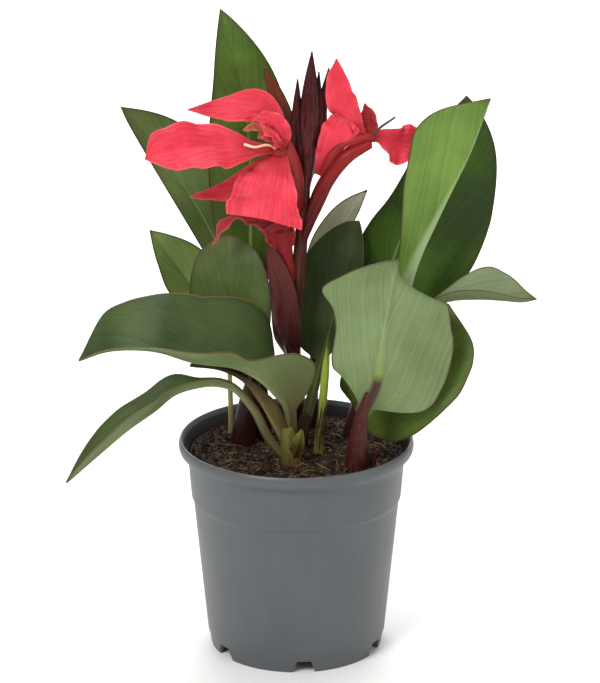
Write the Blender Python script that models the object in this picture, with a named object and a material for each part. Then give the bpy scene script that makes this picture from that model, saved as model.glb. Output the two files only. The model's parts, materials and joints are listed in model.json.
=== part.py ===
"""A canna lily in its nursery pot: a red-flowered canna with broad arching leaves, potted in soil.

Lengths are in millimetres and angles in degrees, and every mesh is written in metres.
+X is to the viewer's right, +Y goes away from the viewer and +Z is up. The origin is the centre
of the pot's foot, on the surface that the pot stands on.
"""

import math

import bpy
import numpy as np

MM = 0.001
GAP = 0.35

# Pot
POT_HEIGHT = 158.0
RIM_RADIUS = 85.0
FOOT_RADIUS = 62.5
WALL = 1.6
FLOOR = 2.0
POT_SIDES = 36
STEP_HEIGHT = 113.0
CENTRE_PAD_RADIUS = 30.0
CHANNEL_HEIGHT = 9.0
FOOT_NOTCHES = 6
NOTCH_HEIGHT = 8.0
NOTCH_WIDTH = 12.0

# Soil
SOIL_LEVEL = 148.0
SOIL_CRUMB = 1.6

# Leaves and petals
EDGE_THICKNESS = 0.8
PETAL_THICKNESS = 0.8
LEAF_ACROSS = (-1.0, -0.58, -0.14, 0.0, 0.14, 0.58, 1.0)
PETAL_ACROSS = (-1.0, -0.55, 0.0, 0.55, 1.0)
STEM_SIDES = 8
BUD_SIDES = 8


def clear_scene():
    """Remove whatever the file opened with."""
    for found in list(bpy.data.objects):
        bpy.data.objects.remove(found)


def finish_of(name, colour, roughness, metallic=0.0):
    """A plain Principled material."""
    material = bpy.data.materials.get(name) or bpy.data.materials.new(name)
    material.use_nodes = True
    shader = material.node_tree.nodes["Principled BSDF"]
    shader.inputs["Base Color"].default_value = (*colour, 1.0)
    shader.inputs["Roughness"].default_value = roughness
    shader.inputs["Metallic"].default_value = metallic
    return material


def add_mesh(name, points, faces, material, smooth_angle=40.0):
    """A mesh object from points in millimetres."""
    mesh = bpy.data.meshes.new(name)
    mesh.from_pydata([tuple(float(v) * MM for v in p) for p in points], [], [tuple(f) for f in faces])
    mesh.validate()
    mesh.shade_smooth()
    mesh.set_sharp_from_angle(angle=math.radians(smooth_angle))
    made = bpy.data.objects.new(name, mesh)
    made.data.materials.append(material)
    bpy.context.scene.collection.objects.link(made)
    return made


# Curves in space

def unit(vector):
    """The vector or row of vectors at length 1."""
    vector = np.asarray(vector, float)
    return vector / np.maximum(np.linalg.norm(vector, axis=-1, keepdims=True), 1e-9)


def smooth_path(points, count):
    """count points along one smooth curve through the given points."""
    points = np.asarray(points, float)
    chord = np.concatenate([[0.0], np.cumsum(np.linalg.norm(np.diff(points, axis=0), axis=1))])
    slopes = np.gradient(points, chord, axis=0)
    fine = []
    for i in range(len(points) - 1):
        span = chord[i + 1] - chord[i]
        t = np.linspace(0.0, 1.0, 24, endpoint=i == len(points) - 2)[:, None]
        start = (2 * t**3 - 3 * t**2 + 1) * points[i] + (t**3 - 2 * t**2 + t) * slopes[i] * span
        end = (3 * t**2 - 2 * t**3) * points[i + 1] + (t**3 - t**2) * slopes[i + 1] * span
        fine.append(start + end)
    fine = np.concatenate(fine)
    run = np.concatenate([[0.0], np.cumsum(np.linalg.norm(np.diff(fine, axis=0), axis=1))])
    share = np.linspace(0.0, 1.0, count)
    return np.stack([np.interp(share * run[-1], run, fine[:, k]) for k in range(3)], axis=1)


def spread(values, share):
    """Values given at even steps from base to tip, read off one smooth curve at each share of the length."""
    values = np.asarray(values, float)
    place = np.clip(share, 0.0, 1.0) * (len(values) - 1)
    low = np.minimum(place.astype(int), len(values) - 2)
    t = place - low
    if values.ndim > 1:
        t = t[:, None]
    slope = np.gradient(values, axis=0)
    start = (2 * t**3 - 3 * t**2 + 1) * values[low] + (t**3 - 2 * t**2 + t) * slope[low]
    return start + (3 * t**2 - 2 * t**3) * values[low + 1] + (t**3 - t**2) * slope[low + 1]


# Blades: leaves, bracts and petals

def half_width(width, share, stalk, powers):
    """One half's width along the blade: from its widest value, or from widths at even steps."""
    along = np.clip((share - stalk) / (1.0 - stalk), 0.0, 1.0)
    if isinstance(width, tuple):
        return np.maximum(spread(width, along), 0.0)
    peak = powers[0] / (powers[0] + powers[1])
    return width * (along / peak) ** powers[0] * ((1.0 - along) / (1.0 - peak)) ** powers[1]


def blade_surface(spec, stations, across):
    """Points of a blade's middle surface, the normals of its upper side, and each half's width."""
    share = np.linspace(0.0, 1.0, stations)
    path = smooth_path(spec["path"], stations)
    tangent = unit(np.gradient(path, axis=0))
    face = spread(spec["face"], share)
    face = unit(face - tangent * np.sum(face * tangent, axis=1, keepdims=True))
    side = np.cross(tangent, face)
    stalk = spec.get("stalk", 0.0)
    stalk_half = spec.get("stalk_half", 1.0) * (1.0 - share) ** 0.7
    columns = []
    for t in across:
        which = 0 if t < 0 else 1
        width = half_width(spec["width"][which], share, stalk, spec["powers"][which])
        width = np.sqrt(width**2 + stalk_half**2) + 0.35
        fold = np.radians(spread(spec["fold"][which], share))
        curl = np.radians(spread(spec["curl"][which], share))
        steps = np.linspace(0.0, abs(t), 7)
        middles = (steps[1:] + steps[:-1]) / 2
        angle = fold[:, None] + curl[:, None] * middles[None, :]
        out = np.cos(angle).sum(1) * abs(t) / 6 * width
        rise = np.sin(angle).sum(1) * abs(t) / 6 * width
        columns.append(path + side * (out * (1 if which else -1))[:, None] + face * rise[:, None])
    grid = np.stack(columns, axis=1)
    along = np.gradient(grid, axis=0)
    sideways = np.gradient(grid, axis=1)
    normal = unit(np.cross(sideways, along))
    return grid, normal, share


def blade_solid(spec, stations, across, edge):
    """Closed triangles of a blade: an upper and an under sheet, joined round the margin."""
    grid, normal, share = blade_surface(spec, stations, across)
    rib = spread(spec.get("rib", (edge, edge)), share)
    reach = np.abs(grid - grid[:, [len(across) // 2]])
    reach = np.linalg.norm(reach, axis=2)
    thickness = edge + (rib - edge)[:, None] * np.exp(-((reach / np.maximum(rib, edge)[:, None]) ** 2) * 2.5)
    upper = grid + normal * (edge / 2)
    under = grid - normal * (thickness - edge / 2)[:, :, None]
    rows, columns = grid.shape[:2]
    points = np.concatenate([upper.reshape(-1, 3), under.reshape(-1, 3)])
    below = rows * columns

    def at(i, j):
        return i * columns + j

    faces = []
    for i in range(rows - 1):
        for j in range(columns - 1):
            a, b, c, d = at(i, j), at(i, j + 1), at(i + 1, j + 1), at(i + 1, j)
            halves = ((a, b, c), (a, c, d)) if j >= columns // 2 else ((a, b, d), (b, c, d))
            for x, y, z in halves:
                faces.append((x, y, z))
                faces.append((x + below, z + below, y + below))
    rim = [at(i, 0) for i in range(rows)] + [at(rows - 1, j) for j in range(1, columns)]
    rim += [at(i, columns - 1) for i in range(rows - 2, -1, -1)] + [at(0, j) for j in range(columns - 2, 0, -1)]
    for p, q in zip(rim, rim[1:] + rim[:1]):
        faces.append((p, q, q + below))
        faces.append((p, q + below, p + below))
    return points, faces


def blade_spec(path, face, width, fold, curl=((0, 0), (0, 0)), powers=((0.7, 1.0), (0.7, 1.0)), **more):
    """One blade's measures: its rib's path, the way its upper side looks, and its two halves."""
    return {"path": path, "face": face, "width": width, "fold": fold, "curl": curl, "powers": powers, **more}


# Stems, buds and cups

def tube_solid(path, radii, sides, stations, grow=0.0):
    """Closed triangles of a round stem along a smooth path, its radii given at even steps."""
    line = smooth_path(path, stations)
    tangent = unit(np.gradient(line, axis=0))
    radius = spread(radii, np.linspace(0.0, 1.0, stations)) + grow
    lean = unit(np.cross(tangent, np.array([0.13, 1.0, 0.21])))
    other = np.cross(tangent, lean)
    points = []
    for centre, u, v, r in zip(line, lean, other, radius):
        for k in range(sides):
            turn = 2 * math.pi * k / sides
            points.append(centre + r * (math.cos(turn) * u + math.sin(turn) * v))
    faces = []
    for i in range(stations - 1):
        for k in range(sides):
            a, b = i * sides + k, i * sides + (k + 1) % sides
            faces.append((a, b, b + sides))
            faces.append((a, b + sides, a + sides))
    last = (stations - 1) * sides
    faces.append(tuple(range(sides - 1, -1, -1)))
    faces.append(tuple(last + k for k in range(sides)))
    return points, faces


def add_tube(name, path, radii, material, sides=STEM_SIDES, stations=7, grow=0.0):
    """A round stem, bud or cup, made fatter by grow for a cutter."""
    points, faces = tube_solid(path, radii, sides, stations, grow)
    return add_mesh(name, points, faces, material)


def add_blade(name, spec, material, stations=11, across=LEAF_ACROSS, edge=EDGE_THICKNESS):
    """A leaf, bract or petal."""
    points, faces = blade_solid(spec, stations, across, edge)
    return add_mesh(name, points, faces, material)


# Joining and cutting

def as_helper(made):
    """Mark a cutter, so that it stays out of the finished object."""
    made.hide_render = True
    made.display_type = "WIRE"
    return made


def evaluated_copy(made):
    """The object's mesh with its modifiers applied."""
    bpy.context.view_layer.update()
    graph = bpy.context.evaluated_depsgraph_get()
    return bpy.data.meshes.new_from_object(made.evaluated_get(graph))


def fuse(name, pieces, material, solver="EXACT"):
    """One body from several that overlap, by a Boolean union on a collection."""
    whole, rest = pieces[0], pieces[1:]
    whole.name = name
    if rest:
        group = bpy.data.collections.new(name + "_pieces")
        for piece in rest:
            group.objects.link(piece)
        union = whole.modifiers.new("Union", "BOOLEAN")
        union.operation = "UNION"
        union.operand_type = "COLLECTION"
        union.collection = group
        union.solver = solver
        joined = evaluated_copy(whole)
        whole.modifiers.clear()
        whole.data = joined
        for piece in rest:
            bpy.data.objects.remove(piece)
        bpy.data.collections.remove(group)
    whole.data.materials.clear()
    whole.data.materials.append(material)
    return whole


def cut(made, cutters):
    """Take cutters away from a body, and keep the result as its mesh."""
    for cutter in cutters:
        taken = made.modifiers.new("Cut", "BOOLEAN")
        taken.operation = "DIFFERENCE"
        taken.object = cutter
        taken.solver = "EXACT"
    made.data = evaluated_copy(made)
    made.modifiers.clear()
    return made


# The pot and its soil

def revolve(name, profile, sides, material, lumps=None):
    """A closed body turned round the Z axis from a profile of radii and heights, bottom to top outside first."""
    points = []
    rings = []
    for index, (radius, height) in enumerate(profile):
        if radius < 1e-6:
            rings.append([len(points)])
            points.append((0.0, 0.0, height))
            continue
        rings.append(list(range(len(points), len(points) + sides)))
        for k in range(sides):
            turn = 2 * math.pi * k / sides
            lift = lumps(index, k) if lumps else 0.0
            points.append((radius * math.cos(turn), radius * math.sin(turn), height + lift))
    faces = []
    for low, high in zip(rings[:-1], rings[1:]):
        for k in range(sides):
            n = (k + 1) % sides
            if len(low) == 1:
                faces.append((low[0], high[n], high[k]))
            elif len(high) == 1:
                faces.append((low[k], low[n], high[0]))
            else:
                faces.append((low[k], low[n], high[n]))
                faces.append((low[k], high[n], high[k]))
    return add_mesh(name, points, faces, material)


def pot_outer_radius(height):
    """The outer wall's radius below the rim: a taper, with a step where the wall thickens."""
    if height <= STEP_HEIGHT:
        return 64.8 + 0.096 * (height - 10.0)
    return 78.5 - 0.079 * (POT_HEIGHT - 12.0 - height)


def make_pot(material):
    """The pot: foot ring with notches, raised floor round a centre pad, tapered wall, step and rolled rim."""
    low = 10.0
    profile = [
        (0.0, 0.0),
        (CENTRE_PAD_RADIUS, 0.0),
        (CENTRE_PAD_RADIUS + 1.5, CHANNEL_HEIGHT),
        (FOOT_RADIUS - 2.0, CHANNEL_HEIGHT),
        (FOOT_RADIUS - 2.0, 0.0),
        (FOOT_RADIUS, 0.0),
        (FOOT_RADIUS + 1.4, low - 1.5),
        (pot_outer_radius(low), low + 1.0),
        (pot_outer_radius(STEP_HEIGHT), STEP_HEIGHT),
        (pot_outer_radius(STEP_HEIGHT + 3.0), STEP_HEIGHT + 3.0),
        (78.5, POT_HEIGHT - 12.0),
        (79.4, POT_HEIGHT - 8.6),
        (84.2, POT_HEIGHT - 7.4),
        (RIM_RADIUS, POT_HEIGHT - 4.5),
        (84.2, POT_HEIGHT - 0.9),
        (82.6, POT_HEIGHT),
        (80.6, POT_HEIGHT - 0.9),
        (77.6, POT_HEIGHT - 9.0),
        (pot_outer_radius(STEP_HEIGHT + 3.0) - WALL, STEP_HEIGHT + 3.0),
        (pot_outer_radius(STEP_HEIGHT) - WALL, STEP_HEIGHT - 1.0),
        (pot_outer_radius(low) - WALL - 0.6, CHANNEL_HEIGHT + FLOOR),
        (CENTRE_PAD_RADIUS - 1.0, CHANNEL_HEIGHT + FLOOR),
        (CENTRE_PAD_RADIUS - 2.5, FLOOR),
        (0.0, FLOOR),
    ]
    pot = revolve("nursery_pot", profile, POT_SIDES, material)
    cutters = []
    for k in range(FOOT_NOTCHES):
        turn = math.radians(-90.0 + 5.0 + 360.0 * k / FOOT_NOTCHES)
        cutters.append(notch_cutter(turn))
        cutters.append(hole_cutter(turn + math.radians(180.0 / FOOT_NOTCHES)))
    cut(pot, cutters)
    for cutter in cutters:
        bpy.data.objects.remove(cutter)
    return pot


def notch_cutter(turn):
    """A wedge with slanted sides that takes one notch out of the foot ring."""
    outline = [(-NOTCH_WIDTH / 2 - 2, -2.0), (NOTCH_WIDTH / 2 + 2, -2.0), (NOTCH_WIDTH / 2 - 2, NOTCH_HEIGHT),
               (-NOTCH_WIDTH / 2 + 2, NOTCH_HEIGHT)]
    outward = np.array([math.cos(turn), math.sin(turn), 0.0])
    across = np.array([-math.sin(turn), math.cos(turn), 0.0])
    points = []
    for reach in (FOOT_RADIUS - 8.0, FOOT_RADIUS + 8.0):
        for x, z in outline:
            points.append(outward * reach + across * x + np.array([0.0, 0.0, z]))
    faces = [(3, 2, 1, 0), (4, 5, 6, 7), (0, 1, 5, 4), (1, 2, 6, 5), (2, 3, 7, 6), (3, 0, 4, 7)]
    return as_helper(add_mesh("notch_cutter", points, faces, finish_of("cutter", (1, 0, 0), 0.5)))


def hole_cutter(turn):
    """A short upright rod that takes one drainage hole out of the floor."""
    x, y = 45.0 * math.cos(turn), 45.0 * math.sin(turn)
    points, faces = tube_solid([(x, y, CHANNEL_HEIGHT - 3), (x, y, CHANNEL_HEIGHT + FLOOR + 3)], (4.5, 4.5), 8, 2)
    return as_helper(add_mesh("hole_cutter", points, faces, finish_of("cutter", (1, 0, 0), 0.5)))


def make_soil(material):
    """The potting soil, which follows the pot's inside and has a crumbly top."""
    random = np.random.default_rng(11)
    lift = random.uniform(-1.0, 1.0, (40, POT_SIDES))
    inside = GAP
    profile = [
        (0.0, FLOOR + inside),
        (CENTRE_PAD_RADIUS - 2.5 - inside, FLOOR + inside),
        (CENTRE_PAD_RADIUS - 1.0 - inside, CHANNEL_HEIGHT + FLOOR + inside),
        (pot_outer_radius(10.0) - WALL - 0.6 - inside - 0.3, CHANNEL_HEIGHT + FLOOR + inside),
        (pot_outer_radius(STEP_HEIGHT) - WALL - inside, STEP_HEIGHT - 1.0),
        (pot_outer_radius(STEP_HEIGHT + 3.0) - WALL - inside, STEP_HEIGHT + 3.0),
        (77.3 - inside, SOIL_LEVEL - 1.0),
        (64.0, SOIL_LEVEL + 0.4),
        (46.0, SOIL_LEVEL + 1.0),
        (24.0, SOIL_LEVEL + 1.4),
        (0.0, SOIL_LEVEL + 1.4),
    ]
    top = (7, 8, 9)

    def lumps(index, k):
        return SOIL_CRUMB * lift[index, k] if index in top else 0.0

    return revolve("potting_soil", profile, POT_SIDES, material, lumps)


# The plant's measures

UP = (0, 0, 1)
VIEWER = (0, -1, 0)
BACK = (0, 1, 0)

STEMS = {
    "flower_stem": ([(0, 27, 120), (0, 26, 150), (-2, 21, 190), (-3, 14, 225), (0, 10, 260), (3, 9, 300),
                     (5, 8, 330), (6, 8, 346)], (7, 7, 6.5, 6, 5.5, 5, 4.5, 4)),
    "shoot_left": ([(-40, 10, 120), (-39, 10, 150), (-35, 8, 180), (-31, 6, 200)], (9.5, 9, 7.5, 5)),
    "shoot_left_back": ([(-23, 24, 120), (-24, 24, 150), (-27, 24, 200), (-28, 25, 240)], (6.5, 6, 5, 3.5)),
    "shoot_front": ([(-4, -30, 120), (-4, -30, 150), (-7, -28, 176)], (8.5, 7.6, 5)),
    "shoot_centre": ([(3, 6, 120), (3, 7, 150), (7, 12, 170)], (6.5, 6, 4)),
    "thin_shoot": ([(16, -10, 120), (16, -10, 150), (19, -7, 188), (23, -3, 236)], (4, 4, 3.4, 3, 2.6, 0.8)),
    "shoot_right": ([(43, -36, 120), (43, -36, 150), (45, -33, 178), (47, -32, 196)], (9.8, 9.2, 7.5, 5)),
    "shoot_right_small": ([(55, -32, 120), (55, -32, 150), (56, -32, 158)], (2.2, 2.2, 1.4)),
    "shoot_right_back": ([(42, 26, 120), (42, 27, 150), (49, 31, 180), (57, 33, 205)], (8, 8, 6.5, 4.5)),
    "pale_stalk": ([(-49, 32, 120), (-48, 31, 150), (-49, 31, 212)], (1.9, 1.8, 1.5)),
    "back_stalk": ([(12, 46, 120), (12, 46, 150), (13, 49, 200), (14, 50, 240)], (4, 3.8, 3.2, 2.4)),
}

LEAVES = {
    "leaf_top": blade_spec(
        [(-28, 24, 234), (-32, 28, 265), (-33, 32, 300), (-33, 40, 350), (-38, 42, 404), (-53, 30, 466)],
        [VIEWER, VIEWER, (0.1, -1, 0.1), (0.2, -1, 0.2)], (30, 32), ((14, 8), (14, 8)),
        powers=((0.8, 1.0), (0.8, 0.9)), stalk=0.08, stalk_half=4, rib=(4, 1.2)),
    "leaf_upper_left": blade_spec(
        [(-29, 27, 216), (-36, 38, 240), (-48, 47, 268), (-72, 50, 317), (-98, 44, 360), (-123, 20, 398)],
        [VIEWER, VIEWER, (0.1, -1, 0.1), (0.3, -1, 0.3)], (12, 37), ((12, 12), (4, 4)),
        powers=((0.8, 0.8), (0.8, 1.0)), stalk=0.1, stalk_half=3.5, rib=(4, 1.2)),
    "leaf_small_left": blade_spec(
        [(-49, 31, 206), (-58, 33, 234), (-80, 32, 269), (-104, 18, 308)],
        [VIEWER, (0.1, -1, 0.1), (0.2, -1, 0.3)], (18, 24), ((30, 30), (10, 10)),
        powers=((0.9, 0.9), (0.9, 1.0)), stalk=0.1, stalk_half=2, rib=(3, 1.2)),
    "leaf_centre_left": blade_spec(
        [(-32, 5, 192), (-38, 4, 220), (-45, 2, 252), (-48, 3, 284), (-49, 12, 306)],
        [(0.1, -1, 0), (0.1, -1, 0.1), (0, -1, 0.4), (0, -0.6, 1)], (29, 28), ((14, 4), (14, 4)),
        powers=((0.7, 0.5), (0.7, 0.5)), stalk=0.1, stalk_half=3.5, rib=(4, 1.2)),
    "leaf_inner_left": blade_spec(
        [(-30, 7, 194), (-26, 9, 212), (-23, 9, 230), (-20, 8, 246)],
        [VIEWER, (0.1, -1, 0.1), (0, -1, 0.3)], (6, 7), ((14, 14), (14, 14)),
        stalk=0.1, stalk_half=2, rib=(2.5, 1.2)),
    "leaf_front_left": blade_spec(
        [(-6, -27, 165), (-8, -32, 195), (-15, -37, 206), (-24, -42, 217), (-43, -48, 228), (-71, -54, 234),
         (-102, -55, 243), (-130, -50, 241), (-153, -40, 230)],
        [(0.3, 0.75, 0.55), (0.25, 0.5, 0.8), UP, UP, (-0.1, 0, 1)],
        ((4, 32, 34, 13, 26, 27, 17, 8, 4, 3, 0), (4, 33, 49, 52, 49, 47, 46, 41, 36, 28, 0)),
        ((34, 38, 30, 24), (42, 62, 52, 42)), stalk=0.12, stalk_half=5, rib=(4, 1.2)),
    "leaf_narrow_left": blade_spec(
        [(-6, -29, 158), (-15, -31, 178), (-27, -32, 200), (-36, -33, 212), (-52, -34, 221), (-75, -34, 224)],
        [(0.4, 0.7, 0.5), (0.3, 0.5, 0.7), UP, UP], ((5, 7, 9, 9, 7, 4, 2), (5, 7, 9, 10, 8, 5, 2)),
        ((30, 20), (30, 20)), stalk_half=4, rib=(3, 1.2)),
    "leaf_low_left": blade_spec(
        [(-6, -28, 151), (-18, -28, 165), (-32, -31, 193), (-46, -36, 209), (-58, -40, 213), (-72, -46, 213),
         (-86, -50, 209), (-99, -54, 199), (-119, -58, 185), (-138, -62, 169), (-162, -66, 148)],
        [(0.5, 0.3, 0.8), (0.2, 0.1, 1), (-0.1, 0, 1), (-0.4, 0, 1), (-0.7, 0, 0.9)],
        (16, (3, 4, 5, 14, 15, 17, 19, 18, 14, 8, 0)), ((50, 36, 36), (36, 35, 35)),
        powers=((0.9, 0.8), (0.9, 0.8)), stalk=0.3, stalk_half=4, rib=(4, 1.2)),
    "leaf_centre_right": blade_spec(
        [(5, 10, 158), (11, 18, 181), (20, 23, 216), (30, 27, 253), (39, 32, 285), (45, 40, 309)],
        [VIEWER, VIEWER, (-0.1, -1, 0.2), (0, -1, 0.5)], (35, 13), ((-4, -4), (-14, -20)),
        powers=((0.5, 0.6), (0.7, 0.8)), stalk=0.34, stalk_half=4, rib=(5, 1.2)),
    "leaf_small_back": blade_spec(
        [(14, 50, 232), (16, 52, 250), (22, 56, 282), (36, 60, 308), (51, 50, 329)],
        [BACK, BACK, (0, 1, 0.4)], (13, 13), ((20, 20), (20, 20)), stalk=0.08, stalk_half=2, rib=(3, 1.2)),
    "leaf_rolled": blade_spec(
        [(56, 30, 196), (67, 22, 212), (76, 14, 245), (84, 8, 283), (102, 2, 327), (122, -2, 372), (135, -2, 410)],
        [BACK, BACK, BACK, (0.3, 1, 0.1)], (20, (3, 6, 8, 10, 15, 23, 31, 37, 41, 31, 0)), ((80, 90), (8, 2)),
        powers=((0.8, 0.8), (0.8, 0.22)), stalk=0.1, stalk_half=3, rib=(4, 1.2)),
    "leaf_big_right": blade_spec(
        [(56, 36, 198), (61, 46, 230), (71, 52, 278), (93, 55, 329), (110, 52, 366), (121, 40, 401)],
        [VIEWER, VIEWER, VIEWER, (0, -1, 0.3)], ((3, 14, 22, 28, 26, 21, 19, 18, 14, 8, 0), 56), ((10, 6), (10, 4)),
        powers=((0.6, 1.0), (0.6, 0.75)), stalk=0.1, stalk_half=4, rib=(4.5, 1.2)),
    "leaf_far_right": blade_spec(
        [(51, 32, 184), (67, 38, 204), (85, 37, 231), (106, 28, 252), (132, 22, 256), (148, 15, 257),
         (162, 8, 258), (171, 2, 262)],
        [(-0.3, 0.2, 1), UP, UP, UP],
        ((3, 4, 5, 8, 15, 21, 23, 20, 15, 9, 0), (3, 4, 5, 8, 12, 13, 13, 11, 8, 5, 0)),
        ((30, 75), (40, 45)), stalk=0.4, stalk_half=3, rib=(4, 1.2)),
    "leaf_front_right": blade_spec(
        [(46, -31, 188), (56, -35, 208), (60, -38, 237), (63, -36, 259), (67, -28, 278), (72, -8, 295)],
        [BACK, BACK, (0, 1, -0.1), (0, 1, 0.8)],
        ((3, 38, 46, 46, 47, 47, 45, 44, 41, 29, 0), (3, 22, 31, 33, 32, 32, 36, 50, 33, 12, 0)),
        ((10, 4), (10, 4)), stalk=0.04, stalk_half=4, rib=(6, 1.2)),
    "leaf_behind_right": blade_spec(
        [(43, 22, 160), (49, 10, 168), (58, 2, 182), (70, -3, 203), (88, -2, 228), (109, 6, 257)],
        [(-0.2, -1, 0.4), (-0.2, -1, 0.4), (-0.2, -1, 0.5)],
        (34, (4, 26, 34, 39, 42, 44, 45, 43, 39, 28, 0)), ((8, 8), (8, 8)),
        powers=((0.3, 0.6), (0.45, 0.6)), stalk=0.1, stalk_half=3.5, rib=(4, 1.2)),
    "sheath_bract": blade_spec(
        [(-4, 12, 214), (-8, 2, 232), (-9, -3, 250), (-11, -4, 270), (-19, -4, 303)],
        [BACK, BACK, BACK, BACK], (11, 11), ((5, 5), (30, 20)), ((0, 0), (30, 30)),
        powers=((0.4, 0.6), (0.4, 0.6)), stalk_half=3, rib=(2.5, 1.2)),
    "bract_behind": blade_spec(
        [(5, 10, 330), (-4, 19, 350), (-7, 20, 379), (-13, 18, 404), (-22, 14, 428)],
        [VIEWER, VIEWER, VIEWER], (9, 9), ((20, 20), (20, 20)),
        powers=((0.5, 0.8), (0.5, 0.8)), stalk_half=2, rib=(2, 1)),
    "sheath_front": blade_spec(
        [(-2, -35, 154), (1, -39, 166), (4, -39, 178)],
        [BACK, BACK, BACK], (5, 5), ((20, 20), (20, 20)), powers=((0.4, 0.8), (0.4, 0.8)), rib=(1.6, 1)),
}

# The stem that each leaf grows from
GROWS_FROM = {
    "leaf_top": "shoot_left_back",
    "leaf_upper_left": "shoot_left_back",
    "leaf_small_left": "pale_stalk",
    "leaf_centre_left": "shoot_left",
    "leaf_inner_left": "shoot_left",
    "leaf_front_left": "shoot_front",
    "leaf_narrow_left": "shoot_front",
    "leaf_low_left": "shoot_front",
    "leaf_centre_right": "shoot_centre",
    "leaf_small_back": "back_stalk",
    "leaf_rolled": "shoot_right_back",
    "leaf_big_right": "shoot_right_back",
    "leaf_far_right": "shoot_right_back",
    "leaf_front_right": "shoot_right",
    "leaf_behind_right": "shoot_right_back",
    "sheath_bract": "flower_stem",
    "bract_behind": "flower_stem",
    "sheath_front": "shoot_front",
}

# Buds and flower tubes: a path and radii each
BUDS = [
    ([(6, 8, 343), (8, 8, 367), (9, 8, 393)], (4, 6, 5.5, 2)),
    ([(7, 7, 361), (9, 7, 398), (11, 8, 441)], (4, 6, 6.4, 4.4, 0.5)),
    ([(5, 8, 357), (1, 9, 389), (1, 9, 421)], (4, 5.5, 4.6, 2.8, 0.5)),
    ([(9, 10, 356), (14, 11, 390), (16, 11, 426)], (4, 5.5, 5, 3, 0.5)),
    ([(9, 12, 352), (16, 14, 388), (23, 14, 428)], (4, 5.5, 5, 3, 0.5)),
    ([(8, 12, 350), (15, 13, 375), (21, 14, 400)], (4, 5.5, 4.8, 0.6)),
]

CALYXES = {
    "bloom_left_calyx": ([(4, 7, 327), (-1, -1, 342), (-4, -4, 361), (-5, -6, 380)], (3, 5.5, 8, 7, 2)),
    "bloom_right_calyx": ([(4, 8, 302), (12, 4, 327), (22, 2, 350), (36, 1, 367), (52, 2, 376)],
                          (3, 4.5, 5.6, 5.2, 4.6, 3)),
}

PETALS = {
    "bloom_left_petals": (
        ([(-8, -6, 371), (-17, -10, 376)], (4, 5.5, 5, 2.5)),
        [
            blade_spec([(-11, -7, 375), (-34, -16, 378), (-59, -28, 383), (-84, -36, 382), (-104, -42, 377)],
                       [(0.1, -0.8, 0.7)] * 2,
                       ((3, 4, 7, 12, 16, 18, 19, 18, 15, 11, 0), (3, 3, 5, 9, 13, 16, 17, 18, 17, 15, 0)),
                       ((8, 8), (8, 8)), stalk_half=2.5),
            blade_spec([(-11, -5, 375), (-14, -3, 393), (-25, -2, 404), (-46, -1, 404), (-76, 1, 401)],
                       [(0.1, -0.9, 0.4)] * 2, ((3, 6, 10, 12, 12, 9, 5, 0), (3, 4, 8, 11, 9, 6, 3, 0)),
                       ((8, 8), (8, 8)), stalk_half=2.5),
            blade_spec([(-11, -8, 374), (-15, -22, 359), (-21, -36, 343), (-25, -46, 330)],
                       [(0, -1, 0.5)] * 2, (27, 27), ((-8, -8), (-8, -8)),
                       powers=((0.9, 0.15), (0.9, 0.15)), stalk_half=3),
            blade_spec([(-11, -5, 372), (-31, 2, 352), (-53, 1, 341), (-75, -3, 339)],
                       [(0, -1, 0.5)] * 2, (8, 8), ((8, 8), (8, 8)), stalk_half=2),
            blade_spec([(-11, -9, 375), (-14, -13, 389), (-24, -15, 398), (-36, -15, 393)],
                       [(0.3, 0.8, -0.4)] * 2, (6, 6), ((20, 20), (20, 20)), stalk_half=2),
        ],
        "bloom_left_calyx",
    ),
    "bloom_right_petals": (
        ([(18, 6, 352), (32, 6, 373), (50, 6, 380), (55, 6, 381)], (3, 5, 4.5, 4.5, 3)),
        [
            blade_spec([(46, 5, 379), (40, 3, 395), (31, 2, 412), (28, 4, 437)], [VIEWER, VIEWER],
                       ((3, 4, 8, 12, 9, 6, 0), (3, 4, 6, 9, 8, 5, 0)), ((8, 8), (8, 8)), stalk_half=3),
            blade_spec([(15, 5, 353), (27, 4, 377), (38, 3, 393)], [VIEWER, VIEWER], (14, 10), ((8, 8), (8, 8)),
                       powers=((0.8, 0.15), (0.8, 0.15)), stalk_half=2),
            blade_spec([(48, 6, 379), (51, 7, 390), (48, 8, 404)],
                       [VIEWER, VIEWER], (6, 6), ((10, 10), (10, 10)), stalk_half=2),
            blade_spec([(50, 6, 380), (62, 10, 379), (74, 16, 374), (86, 20, 371)], [(0, -1, 0.5)] * 2,
                       ((3, 4, 6, 9, 13, 10), (3, 4, 14, 17, 14, 6)), ((8, 8), (8, 8)), stalk_half=2.5),
        ],
        "bloom_right_calyx",
    ),
    "bloom_low_petals": (
        ([(-1, 9, 272), (-5, 7, 284), (-9, 5, 299), (-11, 3, 314)], (3, 4.5, 6.5, 8)),
        [
            blade_spec([(-8, 5, 304), (-19, 1, 318), (-33, -5, 323), (-45, -10, 324), (-55, -14, 315), (-59, -15, 305)],
                       [(0, -0.7, 0.7), (-0.6, -0.5, 0.6), (-1, -0.2, 0)], (6, 6), ((10, 10), (10, 10)),
                       powers=((0.5, 0.7), (0.5, 0.7)), stalk_half=3),
            blade_spec([(-7, 3, 298), (-11, -1, 310), (-15, -6, 321)],
                       [(0, -1, 0.2)] * 2, (11, 11), ((10, 10), (10, 10)),
                       powers=((0.6, 0.3), (0.6, 0.3)), stalk_half=3),
        ],
        "flower_stem",
    ),
}

STYLES = {
    "bloom_left_style": ([(-12, -8, 374), (-21, -19, 381), (-29, -21, 380), (-36, -21, 382)], (1.1, 1.1, 0.9, 1.1),
                         "bloom_left_petals"),
    "bloom_right_style": ([(53, 6, 380), (58, -1, 388), (69, -4, 397)], (1, 1, 0.8), "bloom_right_petals"),
}


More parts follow.
